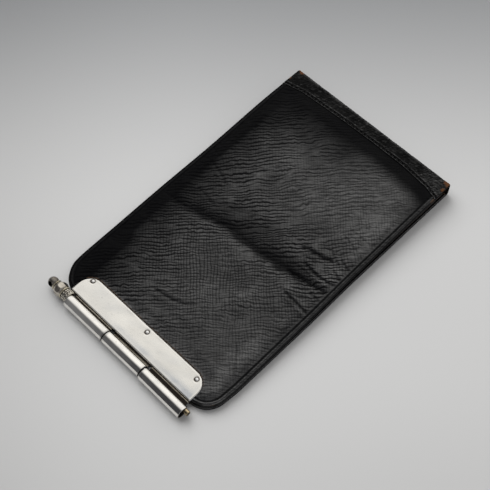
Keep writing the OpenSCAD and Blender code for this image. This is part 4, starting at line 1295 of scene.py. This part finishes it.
plate_sheet("front_clasp_plate", front, 0.3, "front_cover", "silver", ("front_plate",), 0.0)
plate_sheet("back_clasp_plate", back, 0.0, "back_cover", "silver", ("back_plate",), 30.0)


def inner_plate(name, place, body, node):
    mid, half = (PX0 + PX1) / 2, (PX1 - PX0) / 2 - 0.4
    r = PR - 0.4
    y_hi, y_lo = PY1 - 0.4, WALL + 0.36
    near = (0, 0.02, 0.06, 0.12, 0.2, 0.3, 0.5)
    ys = spaced(y_lo, y_hi, 0.4, near)
    us = spaced(-1, 1, 0.45 / half, tuple(k / half for k in near))
    fall = np.clip(r - (y_hi - ys), 0, r)
    w = half - r + np.sqrt(np.maximum(r * r - fall * fall, 0))
    x = mid + us[None, :] * w[:, None]
    y = np.repeat(ys[:, None], len(us), 1)
    d = np.maximum(np.minimum(plate_inset(x, y) - 0.4, y - y_lo), 0)
    z = 0.10 * (1 - smooth(d / 0.2)) - 0.008 * F_SLOW(x, y) * smooth(d / 1.0)
    for rx, ry in RIVETS:
        z = z + 0.05 * bump_at(np.hypot(x - rx, y - ry), 0.95, 0.3)
    z = np.maximum(z, 0.0)
    tr = 0.30 * bump_at(d, 0.0, 0.6)
    for rx, ry in RIVETS:
        tr = tr + 1.0 * bump_at(np.hypot(x - rx, y - ry), 0.60, 0.24) + 0.3 * bump_at(np.hypot(x - rx - 0.7, y - ry + 0.5), 0, 0.8)
    outer = np.stack([x, y, z], -1)
    inner = np.stack([x, y, np.full_like(x, 0.29)], -1)
    v, f = two_skins(outer, inner)
    ob = make(name, place(v), f, MAT_INNER, sharp=60, attrs={"tarnish": np.concatenate([np.clip(tr, 0, 1).ravel(), np.full(x.size, 0.6)])})
    return piece(ob, body, "silver", node)


inner_plate("front_inner_clasp_plate", front, "front_cover", "front_inner_plate")
inner_plate("back_inner_clasp_plate", back, "back_cover", "back_inner_plate")


def rivets(name, place, proud, body, node):
    parts = []
    for rx, ry in RIVETS:
        top = T + proud
        if proud:
            prof = [(0.0, 0.0), (0.02, 0.42), (0.02, 0.44), (0.35, 0.45), (top - 0.05, 0.45), (top - 0.04, 0.58), (top - 0.01, 0.64), (top + 0.03, 0.66),
                    (top + 0.08, 0.62), (top + 0.12, 0.52), (top + 0.145, 0.36), (top + 0.155, 0.2), (top + 0.158, 0.0)]
        else:
            prof = [(0.0, 0.0), (0.02, 0.42), (0.02, 0.44), (0.35, 0.45), (top - 0.20, 0.45), (top - 0.19, 0.76), (top - 0.10, 0.80), (top - 0.04, 0.79),
                    (top - 0.012, 0.72), (top - 0.005, 0.5), (top - 0.002, 0.25), (top - 0.001, 0.0)]
        n = 40
        v, f = lathe(prof, lambda q: q, n)
        q = np.stack([rx + v[:, 1], ry + v[:, 2], v[:, 0]], -1)
        parts.append((place(q), f))
    return piece(joined(name, parts, MAT_RIVET, sharp=50), body, "silver", node)


rivets("front_rivet_heads", front, 0.3, "front_cover", "front_rivets")
rivets("back_rivet_heads", back, 0.0, "back_cover", "back_rivets")


def tongue(name, spans, z0, z1, y_wall, place_tube, axis_y, body, above):
    """Strap from the end wall to its tube, flared by the solder where they meet."""
    parts, soot, dark = [], [], []
    for x0, x1 in spans:
        xs = spaced(x0, x1, 1.0, (0, 0.04, 0.1, 0.2))
        ts = np.linspace(0, 1, 12)
        o, i = [], []
        ts = np.linspace(0, 1, 18)
        for t in ts:
            y = y_wall * (1 - t) + (axis_y + 1.9) * t
            flare = 0.16 * smooth(np.array((t - 0.45) / 0.55)) + 0.06 * smooth(np.array((0.25 - t) / 0.25))
            d = np.minimum(xs - xs[0], xs[-1] - xs)
            soft = 0.08 * (1 - smooth(d / 0.15))
            wob = 0.012 * F_SLOW2(xs * 2, np.full_like(xs, y * 4))
            o.append(np.stack([xs, np.full_like(xs, y), z1 + flare - soft + wob + (0.12 if above else 0.0) * bump_at(t, 0.24, 0.14)], -1))
            i.append(np.stack([xs, np.full_like(xs, y), z0 - flare * 0.5 + soft + wob], -1))
            # the strap is coloured near black, painted shade in the gap under the plate, lighter along one band
            dark.append(np.full_like(xs, 1 - (0.80 if above else 0.92) * bump_at(t, 0.24 if above else 0.45, 0.15 if above else 0.34)))
        parts.append(two_skins(np.array(o), np.array(i)))
        soot += [np.array(dark).ravel(), np.ones(len(dark) * len(xs))]
        dark = []
    ob = joined(name, parts, MAT_TONGUE, sharp=60, attrs={"tarnish": np.concatenate(soot)})
    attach(ob, body)
    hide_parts("front_plate" if body == "front_cover" else "back_plate")
    return ob


tongue("front_clasp_tongues", [(-29.6, -9.4), (12.85, 32.5)], 2.2, 2.52, WALL + 0.15, None, TUBE_Y, "front_cover", True)
tongue("back_clasp_tongue", [(-7.9, 11.0)], 0.82, 1.12, WALL + 0.05, None, TUBE_Y - 0.12, "back_cover", False)


# ---------------------------------------------------------------- knuckles
def knuckle(name, x0, x1, place, body, node, seed, ends):
    e = 0.10
    prof = []
    prof += arc(x0 + e, TUBE_R - e, e, 180, 90, 6)
    k = max(8, int((x1 - x0) / 0.8))
    prof += [(v, TUBE_R) for v in np.linspace(x0 + e + 0.15, x1 - e - 0.15, k)]
    prof += arc(x1 - e, TUBE_R - e, e, 90, 0, 6)
    prof += arc(x1 - e, BORE_R + e, e, 0, -90, 6)
    prof += [(v, BORE_R) for v in np.linspace(x1 - e - 0.3, x0 + e + 0.3, 12)]
    prof += arc(x0 + e, BORE_R + e, e, 270, 180, 6)

    def shape(s, a, r):
        out = r > 2.5
        soft = smooth((s - x0) / 1.0) * smooth((x1 - s) / 1.0)
        wob = 0.006 * np.sin(a * 2 + s * 0.21 + seed) + 0.004 * np.sin(a * 3 - s * 0.33 + seed * 2) + 0.003 * np.sin(s * 0.9 + seed)
        lip = 0.010 * bump_at(s, x0 + 0.35, 0.25) + 0.010 * bump_at(s, x1 - 0.35, 0.25)
        return np.where(out, np.minimum(r + wob * soft - 0.008 + lip * 0.6, 2.62 + 0.004), r)

    # painted shade: near black in the bore and at the ends where the knuckles meet
    def bore_and_gap_shade(s, a, r):
        bore = r < BORE_R + 0.03
        return np.where(bore, 0.8, ends[0] * bump_at(s, x0, 0.26) + ends[1] * bump_at(s, x1, 0.26))

    ob = lathe_piece(name, prof, place, MAT_TUBE, n=160, closed=True, shape=shape, sharp=60, soot=bore_and_gap_shade)
    return piece(ob, body, "silver", node)


knuckle("left_tube_knuckle", -30.2, -8.8, left_at, "front_cover", "left_knuckle", 0.3, (0.35, 0.9))
knuckle("middle_tube_knuckle", -8.5, 11.6, mid_at, "back_cover", "middle_knuckle", 2.1, (0.9, 0.5))
knuckle("right_tube_knuckle", 12.25, 34.0, right_at, "front_cover", "right_knuckle", 4.0, (0.5, 0.15))


# ---------------------------------------------------------------- pencil
def pencil():
    # barrel, hollow, with a turned ring near the writing end
    prof = [(-2.85, 0.8), (-2.85, 1.1), (-2.8, 1.15)] + [(s, 1.15) for s in np.linspace(-2.4, 54.1, 40)]
    prof += [(54.2, 1.12), (54.35, 1.12), (54.45, 1.15), (54.6, 1.15), (54.7, 1.12), (54.85, 1.12), (54.95, 1.15), (55.82, 1.15), (55.9, 1.08), (55.9, 0.8), (40, 0.8), (20, 0.8), (0, 0.8)]
    piece(lathe_piece("pencil_tube", prof, pen, MAT_BARREL, n=96, closed=True), "pencil", "silver", "pencil_barrel")
    nz = [(54.5, 0.5), (54.5, 0.78), (56.0, 0.78), (57.05, 0.78), (57.05, 1.06), (57.12, 1.12), (57.4, 1.12), (57.5, 1.06), (57.7, 1.06), (57.8, 1.12), (60, 1.12),
          (62, 1.11), (64, 1.10), (66.0, 1.09), (66.8, 1.08), (67.1, 1.06), (67.25, 1.0), (67.3, 0.92), (67.28, 0.82), (67.1, 0.74), (66.6, 0.5), (64, 0.5), (60, 0.5)]
    nz = [(q - 1.1, r) for q, r in nz]
    # the nozzle's opening is coloured near black, painted shade, with a dark line in the groove by its collar
    piece(lathe_piece("pencil_tip_nozzle", nz, pen, MAT_NOZZLE, n=96, closed=True,
                      soot=lambda s, a, r: 0.9 * smooth((1.02 - r) / 0.12) * (s > 60) + 0.8 * bump_at(s, 56.5, 0.12)), "pencil", "gilt", "pencil_nozzle")

    # ribbed and milled collar
    cp = [(-2.85, 1.17), (-2.85, 2.22), (-2.80, 2.34), (-2.70, 2.48), (-2.58, 2.55), (-2.45, 2.56), (-2.3, 2.55), (-2.18, 2.50), (-2.08, 2.36), (-2.0, 2.30), (-1.92, 2.36), (-1.82, 2.50),
          (-1.70, 2.57), (-1.55, 2.60), (-1.42, 2.59), (-1.32, 2.48), (-1.25, 2.38), (-1.2, 2.35), (-1.14, 2.38), (-1.06, 2.50), (-0.96, 2.59), (-0.8, 2.60), (-0.62, 2.59), (-0.52, 2.50),
          (-0.42, 2.42), (-0.3, 2.40), (-0.08, 2.40), (-0.02, 2.34), (0.0, 2.2), (0.0, 1.17)]

    def mill(s, a, r):
        band1 = smooth((s + 2.80) / 0.2) * smooth((-2.12 - s) / 0.2)
        band2 = smooth((s + 1.86) / 0.15) * smooth((-1.30 - s) / 0.15)
        band3 = smooth((s + 1.08) / 0.12) * smooth((-0.50 - s) / 0.12)
        cut = 0.5 - 0.5 * np.cos(13 * a)
        zig = 0.5 - 0.5 * np.cos(13 * a + s * 7)
        return r - np.where(r > 2.0, 0.17 * band1 * cut + 0.15 * band2 * zig + 0.16 * band3 * cut, 0)

    # the milled cuts and the grooves between the bands are coloured near black
    def groove_dark(s, a, r):
        band1 = smooth((s + 2.80) / 0.2) * smooth((-2.12 - s) / 0.2)
        band2 = smooth((s + 1.86) / 0.15) * smooth((-1.30 - s) / 0.15)
        band3 = smooth((s + 1.08) / 0.12) * smooth((-0.50 - s) / 0.12)
        cut = smooth(0.38 - 1.3 * np.cos(13 * a)) * (band1 + band3)
        zig = smooth(0.38 - 1.3 * np.cos(13 * a + s * 7)) * band2
        grooves = bump_at(s, -2.0, 0.15) + bump_at(s, -1.2, 0.14) + 0.8 * bump_at(s, -0.35, 0.14) + bump_at(s, -2.85, 0.10)
        return np.where(r > 2.0, 0.85 * (cut + zig) + 0.95 * grooves, 1.0)

    piece(lathe_piece("pencil_milled_collar", cp, pen, MAT_COLLAR, n=264, closed=True, shape=mill, sharp=None, soot=groove_dark), "pencil", "tarnished_silver", "milled_collar")

    # gilt ring: two beads with a dark line between
    cr = [(-3.5, 0.4), (-3.5, 2.45), (-3.46, 2.58), (-3.38, 2.68), (-3.30, 2.70), (-3.24, 2.66), (-3.21, 2.56), (-3.18, 2.55), (-3.14, 2.64), (-3.06, 2.69), (-2.99, 2.66), (-2.94, 2.56), (-2.92, 2.45), (-2.92, 0.4)]
    # the line between the beads and the ring's ends are coloured near black: painted shade
    piece(lathe_piece("head_collar_ring", cr, pen, MAT_RINGS, n=128, closed=True,
                      soot=lambda s, a, r: bump_at(s, -3.195, 0.035) + bump_at(s, -3.5, 0.05) + bump_at(s, -2.92, 0.04)), "pencil_head", "gilt", "collar_ring")

    # faceted bulb
    bs = np.array([-7.5, -7.44, -7.3, -7.1, -6.8, -6.4, -6.05, -5.7, -5.4, -5.1, -4.85, -4.6, -4.35, -4.1, -3.9, -3.7, -3.58, -3.5])
    br = np.interp(bs, [-7.5, -7.1, -6.4, -5.7, -5.1, -4.6, -4.1, -3.7, -3.5], [2.05, 2.45, 2.85, 3.06, 3.12, 3.05, 2.8, 2.5, 2.35])
    fine = np.linspace(-7.5, -3.5, 41)
    fr = np.interp(fine, bs, br)
    apothem = 3.12 * 0.985 * math.cos(PI / 8)

    def facets(s, a, r):
        phi = (a - math.radians(11) - 0) % (PI / 4) - PI / 8
        fl = apothem / np.cos(phi)
        k = 0.022
        lo = np.minimum(r, fl) - k * np.log1p(np.exp(-np.abs(r - fl) / k))
        return lo + 0.0

    prof = [(-7.5, 0.0)] + [(s, r) for s, r in zip(fine, fr)] + [(-3.5, 0.0)]
    piece(lathe_piece("pencil_faceted_head", prof, pen, MAT_HEAD, n=192, shape=lambda s, a, r: np.where(r > 1.0, facets(s, a, r), r), sharp=40,
                      soot=lambda s, a, r: 0.9 * bump_at(s, -7.5, 0.16) + 0.9 * bump_at(s, -3.5, 0.14) + (r < 1.0)), "pencil_head", "tarnished_silver", "turning_head")

    fr_ = [(-8.1, 0.0), (-8.1, 1.98), (-8.07, 2.14), (-7.99, 2.27), (-7.90, 2.32), (-7.82, 2.28), (-7.79, 2.18), (-7.76, 2.18), (-7.72, 2.27), (-7.64, 2.30), (-7.56, 2.24), (-7.51, 2.12), (-7.5, 2.0), (-7.5, 0.0)]
    # the same painted shade in its groove and at its ends
    piece(lathe_piece("head_finial_ring", fr_, pen, MAT_RINGS, n=128, soot=lambda s, a, r: bump_at(s, -7.775, 0.035) + bump_at(s, -8.1, 0.06) + bump_at(s, -7.5, 0.04)),
          "pencil_head", "gilt", "finial_ring")

    # pierced ball: a turned form round the eye's axis, on a short neck
    rb, re, lip = 2.2, 1.0, 0.12
    a0 = math.asin((re + lip) / rb)
    ball = [(rb * math.cos(t), rb * math.sin(t)) for t in np.linspace(a0, PI - a0, 48)]
    edge = rb * math.cos(a0)
    hole = [(-edge + 0.02, re + 0.06), (-edge + 0.09, re + 0.015), (-edge + 0.2, re)] + [(s, re) for s in np.linspace(-edge + 0.5, edge - 0.5, 9)] + [(edge - 0.2, re), (edge - 0.09, re + 0.015), (edge - 0.02, re + 0.06)]
    ball_profile = ball + hole
    c = np.array([-39.9993, -71.6462, 3.2720])
    ax = np.array([-0.006931, -0.882924, 0.469465])
    ax /= np.linalg.norm(ax)
    e1 = np.cross(ax, [1, 0, 0])
    e1 /= np.linalg.norm(e1)
    e2 = np.cross(ax, e1)
    v1, f1 = lathe(ball_profile, lambda q: c + q[:, :1] * ax + q[:, 1:2] * e1 + q[:, 2:3] * e2, 96, True)
    neck = [(-9.0, 1.0), (-8.7, 1.85), (-8.5, 1.74), (-8.35, 1.64), (-8.22, 1.66), (-8.14, 1.74), (-8.1, 1.74), (-8.1, 1.0)]
    v2, f2 = lathe(neck, pen, 96, True)
    # the eye's bore and the neck are coloured near black: painted shade
    inner = np.repeat([0.0] * 2 + [0.0] * (len(ball) - 4) + [0.0] * 2 + [0.8] + [1.0] * (len(hole) - 2) + [0.8], 96)
    inner = np.concatenate([inner, np.repeat([1.0, 0.9, 0.7, 0.6, 0.6, 0.8, 1.0, 1.0], 96)])
    piece(joined("pencil_pierced_ball", [(v1, f1), (v2, f2)], MAT_BALL, sharp=50, attrs={"soot": inner}), "pencil_head", "tarnished_silver", "finial_ball")

    # screw with its thread, carrier and lead
    ss = np.arange(-5.9, 35.91, 0.125)
    sp = [(-5.9, 0.0)] + [(s, 0.33) for s in ss] + [(35.9, 0.0)]

    def thread(s, a, r):
        on = smooth((s + 1.0) / 1.0)
        return np.where(r > 0.1, r + 0.03 * np.cos(2 * PI * s - a) * on, r)

    piece(lathe_piece("pencil_drive_screw", sp, pen, MAT_GILT, n=28, shape=thread, sharp=None), "pencil_head", "gilt", "drive_screw")
    lc = [(30.0, 0.42), (30.0, 0.66), (30.08, 0.72), (31, 0.72), (31.1, 0.68), (31.4, 0.68), (31.5, 0.72), (44.6, 0.72), (44.9, 0.68), (45.0, 0.60), (45.0, 0.3), (43.5, 0.3), (43.5, 0.42)]
    lc = [(q - 1.1, r) for q, r in lc]
    piece(lathe_piece("lead_drive_carrier", lc, pen, MAT_GILT, n=64, closed=True), "lead_feed", "gilt", "lead_carrier")
    ld = [(43.7, 0.0), (43.7, 0.24), (43.74, 0.28), (45.0, 0.28), (45.0, 0.37), (45.04, 0.40)] + [(s, 0.40) for s in np.linspace(47, 66.2, 12)] + [(66.4, 0.39), (66.7, 0.30), (66.85, 0.20), (66.9, 0.10), (66.9, 0.0)]
    ld = [(q - 1.1, r) for q, r in ld]
    piece(lathe_piece("pencil_lead", ld, pen, MAT_GRAPHITE, n=48), "lead_feed", "graphite", "lead")


pencil()

# ---------------------------------------------------------------- frame nodes that stay, inside the covers
for n in ("front_board", "back_board"):
    NODES[n].data.materials.clear()
    NODES[n].data.materials.append(MAT_BOARD)


# ---------------------------------------------------------------- studio
def floor():
    m = Mat("studio_floor")
    # the floor's colour is painted darker away from the camera and to the left: a painted falloff of the light
    far = m.math("ADD", m.mul(m.axis(0), -0.703), m.mul(m.axis(1), 0.711))
    g = m.span(far, -10.0, 260.0, kind="SMOOTHSTEP")
    tone = m.mix(g, (0.70, 0.70, 0.697), (0.27, 0.285, 0.31))
    left = m.math("ADD", m.mul(m.axis(0), -0.711), m.mul(m.axis(1), -0.703))
    fall = m.mul(m.span(far, 0.0, 180.0, 1.0, 0.57, kind="SMOOTHSTEP"), m.span(left, 20.0, 170.0, 1.0, 0.70, kind="SMOOTHSTEP"))
    fall = m.mul(fall, m.span(far, -150.0, -50.0, 0.88, 1.0, kind="SMOOTHSTEP"))
    tone = m.mix(fall, (0.0, 0.0, 0.0), tone)
    m.set(color=tone, rough=m.add(0.75, m.mul(m.noise(None, 0.02, 2.0), 0.05)), spec=0.2)
    me = bpy.data.meshes.new("studio_floor")
    s = 3.0
    me.from_pydata([(-s, -s, -0.00003), (s, -s, -0.00003), (s, s, -0.00003), (-s, s, -0.00003)], [], [(0, 1, 2, 3)])
    me.materials.append(m.m)
    ob = bpy.data.objects.new("studio_floor", me)
    bpy.context.scene.collection.objects.link(ob)


floor()


def softbox(name, direction, distance, size, size_y, energy, colour=(1, 1, 1), spread=180):
    d = Vector(direction).normalized()
    light = bpy.data.lights.new(name, "AREA")
    light.shape = "RECTANGLE"
    light.size, light.size_y = size, size_y
    light.energy = energy
    light.color = colour
    light.spread = math.radians(spread)
    ob = bpy.data.objects.new(name, light)
    ob.location = d * distance
    ob.rotation_mode = "QUATERNION"
    ob.rotation_quaternion = (-d).to_track_quat("-Z", "Y")
    bpy.context.scene.collection.objects.link(ob)
    return ob


def studio_world():
    """A room with a large soft light behind the object, grey above and dark on the camera's side."""
    w = bpy.data.worlds.new("studio_world")
    bpy.context.scene.world = w
    w.use_nodes = True
    t = w.node_tree
    t.nodes.clear()
    out = t.nodes.new("ShaderNodeOutputWorld")
    bg = t.nodes.new("ShaderNodeBackground")
    tc = t.nodes.new("ShaderNodeTexCoord")
    sep = t.nodes.new("ShaderNodeSeparateXYZ")
    t.links.new(tc.outputs["Generated"], sep.inputs[0])

    def span(v, a, b, c=0.0, d=1.0, kind="SMOOTHSTEP"):
        n = t.nodes.new("ShaderNodeMapRange")
        n.interpolation_type = kind
        n.clamp = True
        t.links.new(v, n.inputs[0])
        for k, x in zip(range(1, 5), (a, b, c, d)):
            n.inputs[k].default_value = x
        return n.outputs[0]

    def mul(a, b):
        n = t.nodes.new("ShaderNodeMath")
        n.operation = "MULTIPLY"
        t.links.new(a, n.inputs[0])
        t.links.new(b, n.inputs[1])
        return n.outputs[0]

    def mix(fac, a, b):
        n = t.nodes.new("ShaderNodeMix")
        n.data_type = "RGBA"
        t.links.new(fac, n.inputs[0])
        for s, v in ((n.inputs[6], a), (n.inputs[7], b)):
            if isinstance(v, tuple):
                s.default_value = (*v, 1)
            else:
                t.links.new(v, s)
        return n.outputs[2]

    dot = t.nodes.new("ShaderNodeVectorMath")
    dot.operation = "DOT_PRODUCT"
    t.links.new(tc.outputs["Generated"], dot.inputs[0])
    dot.inputs[1].default_value = Vector((-0.25, 0.80, 0.55)).normalized()
    lit = span(dot.outputs["Value"], 0.40, 0.92)
    room = mix(span(sep.outputs[0], -0.42, -0.33), (0.17, 0.172, 0.178), (0.035, 0.036, 0.04))
    room = mix(span(sep.outputs[0], -0.20, 0.15), room, (0.30, 0.30, 0.305))
    col = mix(lit, room, (1.02, 1.01, 0.99))
    t.links.new(col, bg.inputs["Color"])
    t.links.new(bg.outputs[0], out.inputs["Surface"])


studio_world()
key = softbox("soft_key", (-0.62, 0.12, 0.77), 0.95, 0.88, 0.88, 6.5)
key.visible_glossy = False

cam = bpy.data.cameras.new("camera")
cam.sensor_width = 36.0
cam.lens = 80.918
cam.clip_start, cam.clip_end = 0.01, 20
cam_ob = bpy.data.objects.new("camera", cam)
cam_ob.location = (0.1528, -0.1616, 0.3794)
aim = Vector((-0.00037, -0.00663, 0.0)) - Vector(cam_ob.location)
cam_ob.rotation_mode = "QUATERNION"
cam_ob.rotation_quaternion = aim.to_track_quat("-Z", "Y")
bpy.context.scene.collection.objects.link(cam_ob)
bpy.context.scene.camera = cam_ob
bpy.context.scene.view_settings.view_transform = "Standard"
